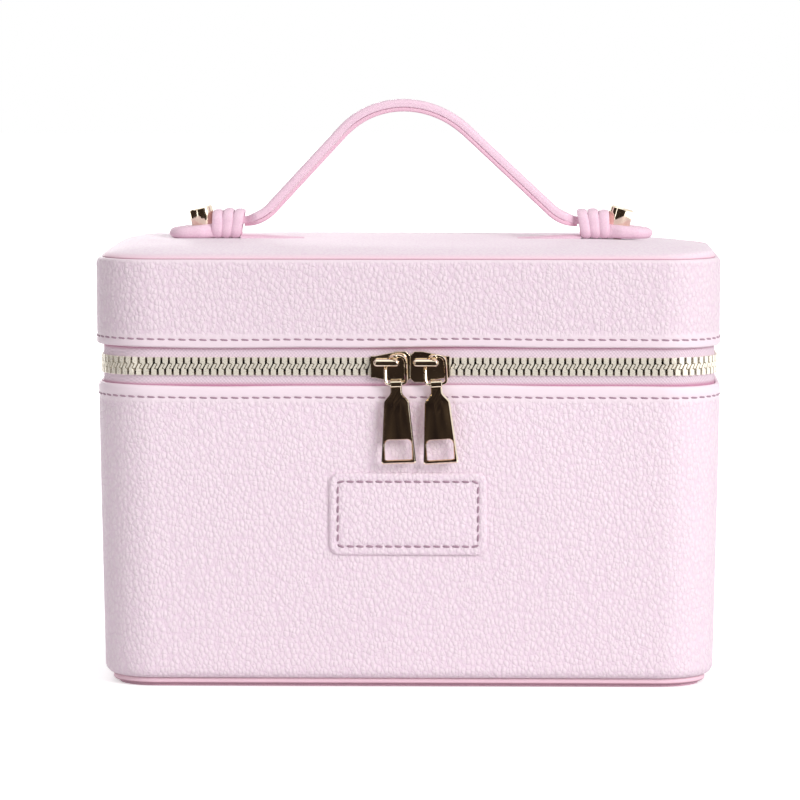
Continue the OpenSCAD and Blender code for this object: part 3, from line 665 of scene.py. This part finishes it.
def simulated_rise(x, y, z, held):
    """How far a leather top, held at its seam and under the tongues, lifts over its foam.

    A cloth simulation with a little pressure gives the rise, in millimetres. The cloth is
    simulated at ten times its size.
    """
    times = 10
    points = surface(x, y, z).reshape(-1, 3) * MM * times
    cloth = mesh_object("top_cloth", points.tolist(), grid_faces(*x.shape))
    group = cloth.vertex_groups.new(name="held")
    group.add([int(i) for i in np.flatnonzero(held.reshape(-1))], 1.0, "REPLACE")
    settings = cloth.modifiers.new("cloth", "CLOTH").settings
    settings.vertex_group_mass = "held"
    settings.effector_weights.gravity = 0.0
    settings.use_pressure = True
    settings.uniform_pressure_force = 4.0
    settings.tension_stiffness = settings.compression_stiffness = 40.0
    settings.bending_stiffness = 6.0
    settings.quality = 6
    scene = bpy.context.scene
    for number in range(1, 16):
        scene.frame_set(number)
    moved = cloth.evaluated_get(bpy.context.evaluated_depsgraph_get())
    settled = np.empty(points.size, np.float32)
    moved.data.vertices.foreach_get("co", settled)
    rise = settled.reshape(*x.shape, 3)[..., 2] / (MM * times) - z
    scene.frame_set(1)
    bpy.data.objects.remove(cloth)
    return rise


def make_top():
    """The padded top, tucked under the roll.

    Its round edge is steepest at the right, and it falls a little to the front, the back and
    most of all the back right corner.
    """
    tuck = 0.3
    out = SEAM_IN - tuck
    steps = [0, 0.15, 0.3, 0.4, 0.55, 0.8, 1.2, 1.8, 2.6, 3.8, 5.4, 7.6, 10.8, 14.5, CORNER_R - out]
    x, y, edge = case_grid(out, steps, 2.6)
    edge = edge - tuck
    sag = 2.6 * eased((x - 60) / 48) * eased((y + 45) / 75)
    flat = CROWN_Z - y**2 / 2000 - sag
    seam_z = LID_TOP - 0.45
    power = 2.6
    edge_w = EDGE_W + 8.0 * eased((-x - 70) / 35) - 6.0 * eased((x - 70) / 35)
    in_from_edge = 1 - np.clip(edge / edge_w, 0, 1)
    crown = seam_z + (flat - seam_z) * (1 - in_from_edge**power) ** (1 / power)
    crown += 2.5 * np.minimum(edge, 0)  # steep where it is tucked in
    reach = np.abs(x)
    pressed = (np.abs(y) < TONGUE_W / 2 + 1.5) & (reach > TAIL_END - 2) & (reach < TONGUE_END + 2)
    rise = simulated_rise(x, y, crown, (edge < 0.4) | pressed)
    limit = 0.7 * eased(edge / 14.0)
    rise = limit * np.tanh(np.maximum(rise, 0.0) / np.maximum(limit, 1e-3))
    waves = 0.08 * np.sin(x / 17.0 + 0.6) * np.cos(y / 13.0) * eased(edge / 10.0)
    top = crown + rise + np.where(pressed, 0.0, waves)
    pad = slab("padded_top", surface(x, y, crown - 1.2), surface(x, y, top), "top", "lid")
    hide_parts("lid_top_panel", "lid_padding")


# ---- the base ----


def make_base():
    margin = PIPING_IN + 2 * PIPING_R
    x, y, _ = case_grid(margin, [0, 0.4, 1, 2, 4, 8], 6.0)
    base = slab("base_leather", surface(x, y, 0.0), surface(x, y, BASE_T - 0.6), "trim", "case")
    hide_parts("base_panel")
    centre = (-PIPING_IN - PIPING_R, PIPING_Z + PIPING_R)
    flange_in = centre[0] - 4
    flange = [(flange_in, BASE_T), (flange_in, BASE_T - 0.6), (centre[0] - 1, BASE_T - 0.6)]
    cord = arc(centre, PIPING_R, -180, 90, 16)
    path = case_outline(420)
    piping = sweep("base_piping_leather", path, cord + flange, "cord", "case")
    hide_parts("base_piping")


# ---- the plain stitched patch ----


def on_front(points):
    """Puts a flat piece on the leaning front: its x runs across, y up and z outwards."""
    a = math.atan(TAPER / BODY_H)
    sin, cos = math.sin(a), math.cos(a)
    front = -CASE_D / 2 + lean(PATCH_Z)
    u, v, w = np.moveaxis(points, -1, 0)
    return np.stack([u, front - v * sin - w * cos, PATCH_Z + v * cos - w * sin], -1)


def make_patch():
    row_in, row_r, row_pitch, edge_r, stand = 3.2, 1.6, 3.3, 1.2, 0.12
    steps = [0, 0.07, 0.22, 0.45, 0.8, 1.3, 1.9, 2.5, 2.85, 3.2, 3.55, 4.0, 4.8]
    x, y, edge = round_grid(PATCH_W, PATCH_H, PATCH_R, steps, 0.9)
    lip = np.sqrt(np.maximum(edge_r**2 - (edge_r - np.minimum(edge, edge_r)) ** 2, 0.0))
    groove = np.exp(-(((edge - row_in) / 0.6) ** 2))
    top = stand + lip + 0.15 * eased((edge - 4) / 5) - 0.34 * groove
    lower, upper = on_front(surface(x, y, 0.02)), on_front(surface(x, y, top))
    patch = slab("patch_leather", lower, upper, "patch", "case")
    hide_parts("front_patch")

    count = 2 * round((PATCH_W + PATCH_H - 4 * row_in - 2) / row_pitch)
    p, n, _, total = outline(PATCH_W - 2 * row_in, PATCH_H - 2 * row_in, row_r, count)
    (x, y), (nx, ny), flat = p.T, n.T, np.zeros(count)
    centres = on_front(np.stack([x, y, flat + stand + edge_r - 0.26], -1))
    origin = on_front(np.zeros((1, 3)))
    along = on_front(np.stack([ny, -nx, flat], -1)) - origin
    out = on_front(np.stack([flat, flat, flat + 1], -1)) - origin
    stitches("patch_thread", centres, along, out, "case", dash=total / count * DASH)


# ---- zip tapes and the hinge strip ----


def make_tapes():
    path = case_outline(560, gap=2 * HINGE_HALF)
    into_teeth, bead = 1.3, 0.24
    out = -2 * SKIN - 0.02
    mid, back = out - TAPE_T / 2, out - TAPE_T
    for part, body, sign, hem_z in (("lower", "case", 1, BODY_H), ("upper", "lid", -1, LID_Z)):
        inner_z = ZIP_Z - sign * (CHAIN_HALF - into_teeth)
        hidden = hem_z - sign * (HEM_H - 0.5)
        lean_in = -lean(hidden) if sign > 0 else 0.0
        profile = [
            (out + lean_in, hidden),
            (out, hem_z - sign * 0.4),
            (out, hem_z + sign * 1.5),
            (out, inner_z - sign * 1.6),
            (out + bead, inner_z - sign * 1.1),
            (out + bead, inner_z - sign * 0.4),
            (mid, inner_z),
            (back - bead, inner_z - sign * 0.4),
            (back - bead, inner_z - sign * 1.1),
            (back, inner_z - sign * 1.6),
            (back, hem_z - sign * 0.4),
            (back + lean_in, hidden),
        ]
        tape = sweep(f"tape_{part}", path, profile, "tape", body, closed=False)
        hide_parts(f"zipper_tape_{part}")


def make_hinge():
    """One strip of leather from hem to hem, with a shallow crease along its fold."""
    z = np.linspace(BODY_H - HEM_H + 0.5, LID_Z + HEM_H - 0.5, 41)
    ends = np.array([HINGE_HALF, HINGE_HALF - 0.4])
    x = np.concatenate([-ends, np.linspace(1.5 - HINGE_HALF, HINGE_HALF - 1.5, 60), ends[::-1]])
    x, z = np.meshgrid(x, z, indexing="ij")
    off = np.abs(z - ZIP_Z)
    crease = 0.55 * np.exp(-((off / 1.1) ** 2))
    flat = CASE_D / 2 - 2 * SKIN
    between_hems = eased((7.5 - off) / 3.0)
    out = flat + between_hems * (0.35 - crease + 0.06 * np.sin(x / 9.0))
    strip = slab("hinge_leather", surface(x, out - SKIN, z), surface(x, out, z), "trim", None)
    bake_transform(strip)
    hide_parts("hinge_strip_lower", "hinge_strip_upper")


# ---- the cloth lining ----


def ripple(s, z):
    """Cloth glued to the board, a little loose here and there."""
    return 0.10 * np.sin(s / 9.0 + 0.4 * np.sin(z / 20.0)) + 0.08 * np.sin(z / 15.0 + s / 40.0)


def flat_cloth(name, z, margin, up, body):
    """A sheet of lining glued flat, drawn down a little along its edge; `up` is its free side."""
    x, y, edge = case_grid(margin, [0, 0.4, 1, 2, 4, 7], 4.0)
    loose = 0.06 * np.sin(x / 21) * np.cos(y / 17) - 0.25 * np.exp(-((edge / 1.2) ** 2))
    free = z + up * (LINING_T + loose)
    return slab(name, surface(x, y, z), surface(x, y, free), "lining", body)


def make_linings():
    path = case_outline(360)
    free, glued, turn = -WALL_T - LINING_T, -WALL_T - 0.05, LINING_T / 2

    rows = np.linspace(FLOOR_Z + 0.1, BODY_H - 1.0, 22)
    profile = (
        [(free - lean(z), z, 1.0) for z in rows]
        + weighted(arc((free + turn, BODY_H - 0.9), turn, 180, 0, 6), 0)
        + [(glued - lean(z), z, 0.0) for z in rows[::-5]]
    )
    lining = sweep("case_lining_walls", path, profile, "lining", "case", ripple)
    floor = flat_cloth("case_lining_floor", FLOOR_Z, lean(FLOOR_Z) + WALL_T + LINING_T, 1, "case")
    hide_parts("body_lining")
    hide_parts("body_lining")

    rows = np.linspace(LID_Z + 1.0, CEILING_Z - 0.1, 12)
    profile = (
        weighted(arc((free + turn, LID_Z + 0.9), turn, 0, -180, 6), 0)
        + [(free, z, 1.0) for z in rows]
        + [(glued, z, 0.0) for z in rows[::-4]]
    )
    lining = sweep("lid_lining_walls", path, profile, "lining", "lid", ripple)
    ceiling = flat_cloth("lid_lining_ceiling", CEILING_Z - 0.02, WALL_T + LINING_T, -1, "lid")
    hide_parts("lid_lining")
    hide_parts("lid_lining")


# ---- the handle ----


def handle_line(step):
    """Stations along the strap's middle line, from its top to the right end: x, z, heading."""
    arch, foot = ARCH_R * SLOPE, FOOT_R * SLOPE
    total = arch + SLOPE_L + foot + NECK_END - STRAP_END
    out = []
    for v in np.linspace(0, total, int(total / step) + 1):
        if v < arch:
            a = v / ARCH_R
            out.append((ARCH_R * math.sin(a), ARCH_Z + ARCH_R * math.cos(a), -a))
        elif v < arch + SLOPE_L:
            d = ARCH_R + v - arch
            out.append((d * math.sin(SLOPE), ARCH_Z + (2 * ARCH_R - d) * math.cos(SLOPE), -SLOPE))
        elif v < arch + SLOPE_L + foot:
            a = SLOPE - (v - arch - SLOPE_L) / FOOT_R
            out.append((STRAP_END - FOOT_R * math.sin(a), SWING_Z + FOOT_R * (1 - math.cos(a)), -a))
        else:
            out.append((STRAP_END + v - arch - SLOPE_L - foot, SWING_Z, 0.0))
    return np.array(out)


def leaning_left(z):
    """How far the arch sags to the left at a height."""
    return -0.07 * np.maximum(z - SWING_Z - 3.0, 0.0)


def make_handle():
    right = handle_line(1.1)
    left = right[:0:-1] * (-1, 1, -1)
    line = np.concatenate([left, right])
    reach = np.abs(line[:, 0])
    narrow = eased((reach - STRAP_END + 5.6) / 5.6)
    half_w, half_t, gap = STRAP_W / 2, STRAP_T / 2, 0.04
    layers = (
        ("strap_leather", "strap", "handle_strap", half_w, SPLIT + gap, half_t, 0.5, 1.25),
        ("strap_lining", "trim", "handle_underside", half_w - 0.1, -half_t, SPLIT - gap, 0.7, 0.3),
    )
    for name, look, node, half, low, high, r_low, r_high in layers:
        section = round_section(half, low, high, r_low, r_high)
        upper = node == "handle_strap"
        keep = np.full(len(line), True) if upper else reach < STRAP_END - 0.2
        if upper:
            a = np.arctan2(section[:, 1] - (low + high) / 2, section[:, 0] * 0.45)
            round_end = NECK_R * np.stack([np.cos(a), np.sin(a)], -1)
        else:
            round_end = np.stack([section[:, 0] * 0.30, section[:, 1] + 0.12], -1)
        verts = []
        for (x, z, heading), t in zip(line[keep], narrow[keep]):
            p = section * (1 - t) + round_end * t
            at_z = z + p[:, 1] * math.cos(heading)
            at_x = x - p[:, 1] * math.sin(heading) + leaning_left(at_z)
            verts.append(np.stack([at_x, p[:, 0], at_z], -1))
        shape = (len(verts), len(section))
        faces = grid_faces(*shape, wrap_cols=True) + end_faces(*shape)
        strap = add_piece(name, np.concatenate(verts), faces, look, "handle")
        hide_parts(node)


def make_turns(side, label):
    """Three turns of cord leather round the tongue's legs and the strap's end."""
    pitch, lap, corner_r = (KEEPER_OUT - KEEPER_IN) / 3, 0.06, 3.9
    p, n, _, _ = outline(KEEPER_W, KEEPER_TOP - CROWN_Z, corner_r, 72)
    half = pitch / 2 + lap
    belly = np.linspace(-1, 1, 11)
    outer = [(0.05 - 0.62 * abs(v) ** 2.6, v * half) for v in belly]
    inner = [(-TURN_T + 0.05, v * half * 0.9) for v in belly[::-5]]
    verts, faces = [], []
    # each turn tilts towards the arch, the innermost one most, and stands up a little
    for i, (tilt, stand) in enumerate(((-0.17, 0.30), (-0.10, 0.45), (-0.03, 0.0))):
        first = len(verts)
        for (y, z), (out_y, out_z) in zip(p, n):
            for off, dx in outer + inner:
                if off > -0.8:
                    off += stand * max(0.0, out_z)
                x = KEEPER_IN + pitch * (i + 0.5) + dx + tilt * z
                verts.append((side * x, y + out_y * off, KEEPER_Z + z + out_z * off))
        cols = len(outer) + len(inner)
        faces += grid_faces(len(p), cols, wrap_rows=True, wrap_cols=True, first=first)
    piece = add_piece(f"keeper_turns_{label}", verts, faces, "strap", "lid", sharp=60)
    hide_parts(f"keeper_wrap_{label}")


def tongue_half(x):
    """Half the width of the tongue along its length."""
    neck = KEEPER_W / 2 - TURN_T
    wide = neck + (TONGUE_W / 2 - neck) * eased((x - KEEPER_OUT + 0.6) / 5.5)
    tip = np.sqrt(np.maximum((TONGUE_W / 2) ** 2 - np.maximum(x - EYE_X, 0) ** 2, 0.0))
    return np.minimum(wide, tip)


def make_tongue(side, label):
    """The leather tongue under a stud: it slopes down from the turns to its round end."""
    tip_l, short, rise, thinner = 8.3, 0.02, 1.0, 0.14
    bend = TONGUE_END - tip_l
    round_off = bend + (tip_l - short) * np.sin(np.linspace(0.12, math.pi / 2, 16))
    x = np.concatenate([np.linspace(KEEPER_OUT - 2, bend, 12), round_off])
    v = np.sin(np.linspace(-1, 1, 25) * math.pi / 2)
    x, v = np.meshgrid(x, v, indexing="ij")
    half = np.maximum(tongue_half(x), 0.25)
    y = v * half
    rounded = TONGUE_W / 2 - np.hypot(x - EYE_X, y)
    edge = np.where(x > EYE_X, rounded, half - np.abs(y))
    r = TONGUE_T / 2
    lift = np.sqrt(np.maximum(r * r - (r - np.clip(edge, 0.02, r)) ** 2, 0.0))
    dish = 0.22 * eased((edge - 2.2) / 2.0)
    share = (x - KEEPER_OUT) / (TONGUE_END - KEEPER_OUT)
    up, thin = rise * (1 - share), 1 - thinner * share
    middle = CROWN_Z + r * thin + up
    upper = surface(side * x, y, middle + thin * lift - dish)
    lower = surface(side * x, y, middle - thin * lift - 0.85 * up)
    piece = slab(f"tongue_{label}", lower, upper, "strap", "lid")
    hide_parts(f"handle_anchor_{label}")


def make_legs(side, label):
    """The tongue's legs inside the turns, with the bore that the strap's end turns in."""
    corner_r, play = 3.0, 0.08
    width, height = KEEPER_W - 2 * TURN_T, KEEPER_TOP - CROWN_Z - 2 * TURN_T
    p, _, _, _ = outline(width, height, corner_r, 48)
    a = np.arctan2(p[:, 1] + KEEPER_Z - SWING_Z, p[:, 0])
    bore = (NECK_R + play) * np.stack([np.cos(a), np.sin(a)], -1) + (0, SWING_Z - KEEPER_Z)
    loops = (
        (KEEPER_IN + 0.3, p * 0.93),
        (KEEPER_IN + 0.9, p),
        (KEEPER_OUT - 0.1, p),
        (KEEPER_OUT - 0.1, bore),
        (KEEPER_IN + 0.3, bore),
    )
    rings = [[(side * x, y, KEEPER_Z + z) for y, z in loop] for x, loop in loops]
    points = np.concatenate(rings)
    legs = add_piece(f"tongue_legs_{label}", points, ring_faces(rings), "trim", "lid")
    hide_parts(f"handle_anchor_{label}")


def make_tail(side, label):
    """The tongue's inner end, a wedge of leather that runs out on the lid."""
    x, v = np.linspace(TAIL_END, KEEPER_IN + 0.6, 14), np.linspace(-1, 1, 17)
    x, v = np.meshgrid(x, v, indexing="ij")
    share = (x - TAIL_END) / (KEEPER_IN - TAIL_END)
    half = (TAIL_W / 2) * (0.55 + 0.45 * eased(share * 3))
    thick = (0.35 + (TAIL_T - 0.35) * np.minimum(share * 1.3, 1)) * (1 - 0.55 * np.abs(v) ** 6)
    lower = surface(side * x, v * half, CROWN_Z + 0.01)
    upper = surface(side * x, v * half, CROWN_Z + thick)
    tail = slab(f"tongue_tail_{label}", lower, upper, "strap", "lid")
    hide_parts(f"handle_anchor_{label}")


# ---- the pull tabs ----


def star_points(polygon, centre, angles):
    """Where rays from a centre, at rising angles, cross a polygon that is a star round it."""
    rel = polygon - centre
    rel = rel[np.argsort(np.arctan2(rel[:, 1], rel[:, 0]))]
    after = np.roll(rel, -1, axis=0)
    start = np.arctan2(rel[:, 1], rel[:, 0])
    run = np.searchsorted(start, angles, side="right") - 1
    ray = np.stack([np.cos(angles), np.sin(angles)], -1)
    (ax, ay), (ex, ey), (rx, ry) = rel[run].T, (after[run] - rel[run]).T, ray.T
    far = (ax * ey - ay * ex) / (rx * ey - ry * ex)
    return centre + ray * far[:, None]


def moved_in(loop, distance):
    """A closed anticlockwise line moved in by a distance, point by point."""
    way = np.roll(loop, -1, axis=0) - loop
    way /= np.linalg.norm(way, axis=1, keepdims=True)
    normal = np.stack([-way[:, 1], way[:, 0]], -1)
    both = normal + np.roll(normal, 1, axis=0)
    return loop + distance * 2 * both / (both**2).sum(1, keepdims=True)


def tab_half(top):
    """The right half of the tab's outline, from its neck to its foot."""
    end_r = 0.8
    neck, shoulder = np.array([NECK_HALF, -2.8]), np.array([4.45, -6.8])
    hip = np.array([TAB_W / 2, end_r - TAB_L])
    down = np.linspace(0, 1, 12)[:, None]
    flare = neck + (shoulder - neck) * np.hstack([eased(down), down])
    sides = shoulder + (hip - shoulder) * down[1:]
    foot = arc(hip - (end_r, 0), end_r, -10, -90, 5)
    return np.concatenate([[(NECK_HALF, top)], flare, sides, foot])


def tab_plate():
    """The plate's rings of (across, outwards, up) points, round its outline and its window."""
    top, bar = -WIRE_R - 0.25, 1.5
    window_h, window_w, window_r, corner_r = 7.0, 9.5, 1.6, 0.3
    half = tab_half(top)
    around = np.concatenate([half, half[::-1] * (-1, 1)])
    middle = np.array([0.0, -TAB_L + bar + window_h / 2])
    window = (window_w / 2, -window_h / 2, window_h / 2, corner_r, window_r)
    hole = round_section(*window, low_count=3) + middle
    angles = np.concatenate([np.arctan2(*(p - middle).T[::-1]) for p in (around, hole)])
    angles = np.unique(angles.round(4))
    angles = angles[np.concatenate([[True], np.diff(angles) > 0.004])]
    outer, inner = star_points(around, middle, angles), star_points(hole, middle, angles)

    def moved_outline(distance):
        loop = moved_in(outer, distance)
        loop[:, 1] = np.where(outer[:, 1] > top - 0.01, top, loop[:, 1])
        return loop

    front, bevel, rim, back_bevel, back_rim, crown_h = -TAB_T / 2, 0.5, 0.3, 0.25, 0.2, 0.14
    face, brink = moved_outline(bevel), moved_in(inner, -rim)
    rings = [
        (moved_outline(back_bevel), -front, 0),
        (outer, -front - back_bevel, 0),
        (outer, front + bevel, 0),
    ]
    across = (0, 0.1, 0.3, 0.5, 0.7, 0.9, 1)
    rings += [(face + (brink - face) * t, front, crown_h) for t in across]
    rings += [
        (inner, front + rim, 0),
        (inner, -front - back_rim, 0),
        (moved_in(inner, -back_rim), -front, 0),
    ]
    points = []
    for loop, w, high in rings:
        wide = np.interp(loop[:, 1], half[::-1, 1], half[::-1, 0]) - bevel
        crown = high * np.maximum(1 - (loop[:, 0] / wide) ** 2, 0.0)
        points.append(np.stack([loop[:, 0], w - crown, loop[:, 1]], -1))
    return points


def tab_eye(count=28):
    """The rings of the eye round the link's wire."""
    bore, end, eye_r, ease = WIRE_R + 0.05, 1.2, 1.35, 0.18
    half = [(NECK_HALF - ease, eye_r), (NECK_HALF, end), (NECK_HALF, bore)]
    turn = np.linspace(0, 2 * math.pi, count, endpoint=False)
    return [
        np.stack([np.full(count, u), r * np.cos(turn), r * np.sin(turn)], -1)
        for u, r in [(-u, r) for u, r in half[::-1]] + half
    ]


def make_tab(side, label):
    """A pull tab: a slightly round face, a bright bevel round it and round its window, an eye."""
    plate, eye = tab_plate(), tab_eye()
    faces = ring_faces(plate) + ring_faces(eye, first=len(plate) * len(plate[0]))
    u, w, v = np.concatenate(plate + eye).T
    v = v - LINK_DROP
    a = math.radians(ASKEW[side])
    x = LINK_X[side] + u * math.cos(a) - v * math.sin(a)
    z = BAR_Z + u * math.sin(a) + v * math.cos(a)
    hung = np.stack([x, BAR_Y + w, z], -1)
    tab = add_piece(f"pull_plate_{label}", hung, faces, "gold", f"pull_{label}", sharp=25)
    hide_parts(f"pull_tab_{label}")


# ---- the carried-over rigid nodes ----

# by a part of a node's name: its look and its bevels' width
NODE_LOOKS = {
    "slider_body": ("gold", 0.35),
    "slider_crown": ("gold", 0.12),
    "pull_link": ("gold", 0),
    "stud_left": ("gold", 0.30),
    "stud_right": ("gold", 0.30),
    "zipper_teeth": ("zip", 0.12),
    "zipper_end_stops": ("zip", 0.20),
    "stud_washer": ("screw", 0.12),
    "stud_screw": ("screw", 0.12),
    "_board": ("board", 0),
}
WELD_WITHIN = 0.002


def add_bevels(obj, width):
    obj.modifiers.new("weld", "WELD").merge_threshold = WELD_WITHIN * MM
    bevel = obj.modifiers.new("bevel", "BEVEL")
    bevel.width = width * MM
    bevel.segments = 2
    bevel.limit_method = "ANGLE"
    bevel.angle_limit = math.radians(35)
    bevel.harden_normals = True


def dress_nodes():
    for part, (look, width) in NODE_LOOKS.items():
        for obj in (obj for name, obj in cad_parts.items() if part in name):
            obj.data.materials.clear()
            obj.data.materials.append(LOOKS[look][1])
            if width:
                add_bevels(obj, width)


# ---- stage, in metres: floor, light and dark cards that only polished metal sees ----

WHITE = rgb(1.0, 1.0, 1.0)
SOOT, OLIVE = rgb(0.014, 0.009, 0.009), rgb(0.085, 0.062, 0.042)
AMBIENT = 0.52
# each lamp's place, the size of its face and its power in watts; all are aimed at the case
AIM = np.array([0.0, 0.0, 0.1])
LAMPS = {
    "key": ((1.7, -1.8, 1.2), (1.2, 1.2), 51.0),
    "fill": ((-1.7, -1.7, 0.9), (1.2, 1.4), 6.5),
    "top": ((0.0, 0.1, 2.0), (1.6, 1.2), 3.5),
    "back": ((-0.7, 2.2, 0.45), (1.4, 1.0), 20.0),
}


def plane(name, corners, material):
    obj = mesh_object(name, corners, [(0, 1, 2, 3)])
    obj.data.materials.append(material)
    return obj


def make_floor():
    """A white floor that fades into the background, and keeps the shadow under the case.

    Its glow grows from under the case outwards. Other surfaces see a plain pale floor.
    """
    material = bpy.data.materials.new("floor_white")
    n = Nodes(material, emptied=True)
    place = n.add("TexCoord").outputs["Object"]
    reach = n.add("VectorMath", {0: place}, operation="LENGTH").outputs["Value"]
    under, clear, dim, bright = 0.10, 0.32, 0.42, 0.9
    glow = n.add("Emission", {"Strength": n.remap(reach, under, clear, dim, bright)})
    lit = n.add("BsdfDiffuse", {"Color": rgb(0.9, 0.9, 0.9)})
    both = n.add("AddShader", {0: lit.outputs[0], 1: glow.outputs[0]})
    matt = n.add("BsdfDiffuse", {"Color": rgb(0.8, 0.8, 0.8)})
    n.end_with("OutputMaterial", matt, both)
    half = 6.0
    corners = [(-half, -half, 0), (half, -half, 0), (half, half, 0), (-half, half, 0)]
    plane("floor", corners, material)


def make_world():
    world = bpy.data.worlds.new("studio")
    bpy.context.scene.world = world
    n = Nodes(world, emptied=True)
    ambient = n.add("Background", {"Color": WHITE, "Strength": AMBIENT})
    white = n.add("Background", {"Color": WHITE})
    n.end_with("OutputWorld", ambient, white)


def make_lamp(name, location, size, power):
    data = bpy.data.lights.new(name, "AREA")
    data.shape = "RECTANGLE"
    data.size, data.size_y = size
    data.energy = power
    lamp = new_object(name, data)
    lamp.location = location
    way = AIM - location
    flat = math.hypot(*way[:2])
    lamp.rotation_euler = (math.atan2(flat, -way[2]), 0.0, math.atan2(-way[0], way[1]))


def make_card(name, corners):
    """A dark, cloudy card that only the polished metal mirrors."""
    material = bpy.data.materials.new(name)
    n = Nodes(material, emptied=True)
    clouds = n.noise(n.add("TexCoord").outputs["Object"], 38.0, 1.0)
    ramp = n.add("ValToRGB", {"Fac": clouds})
    for point, at, colour in zip(ramp.color_ramp.elements, (0.42, 0.72), (SOOT, OLIVE)):
        point.position, point.color = at, colour
    glow = n.add("Emission", {"Color": ramp.outputs["Color"]})
    n.add("OutputMaterial", {"Surface": glow.outputs[0]})
    card = plane(name, corners, material)
    for ray in ("camera", "diffuse", "shadow", "transmission", "volume_scatter"):
        setattr(card, f"visible_{ray}", False)


def make_stage():
    make_floor()
    make_world()
    for name, lamp in LAMPS.items():
        make_lamp(name, *lamp)
    wide, near, low, high = 0.42, -0.5, 0.002, 0.55
    side, far, close = -0.55, 0.3, -0.10
    front = [(-wide, near, low), (wide, near, low), (wide, near, high), (-wide, near, high)]
    left = [(side, near, low), (side, far, low), (side, far, high), (side, near, high)]
    below = [(-wide, near, low), (wide, near, low), (wide, close, low), (-wide, close, low)]
    make_card("card_front", front)
    make_card("card_left", left)
    make_card("card_below", below)
    bpy.context.scene.view_settings.view_transform = "Standard"


make_camera()
make_stage()
make_walls()
make_top()
make_base()
make_patch()
make_tapes()
make_hinge()
make_linings()
make_handle()
for mirrored, label in ((-1, "left"), (1, "right")):
    make_turns(mirrored, label)
    make_tongue(mirrored, label)
    make_legs(mirrored, label)
    make_tail(mirrored, label)
    make_tab(mirrored, label)
dress_nodes()
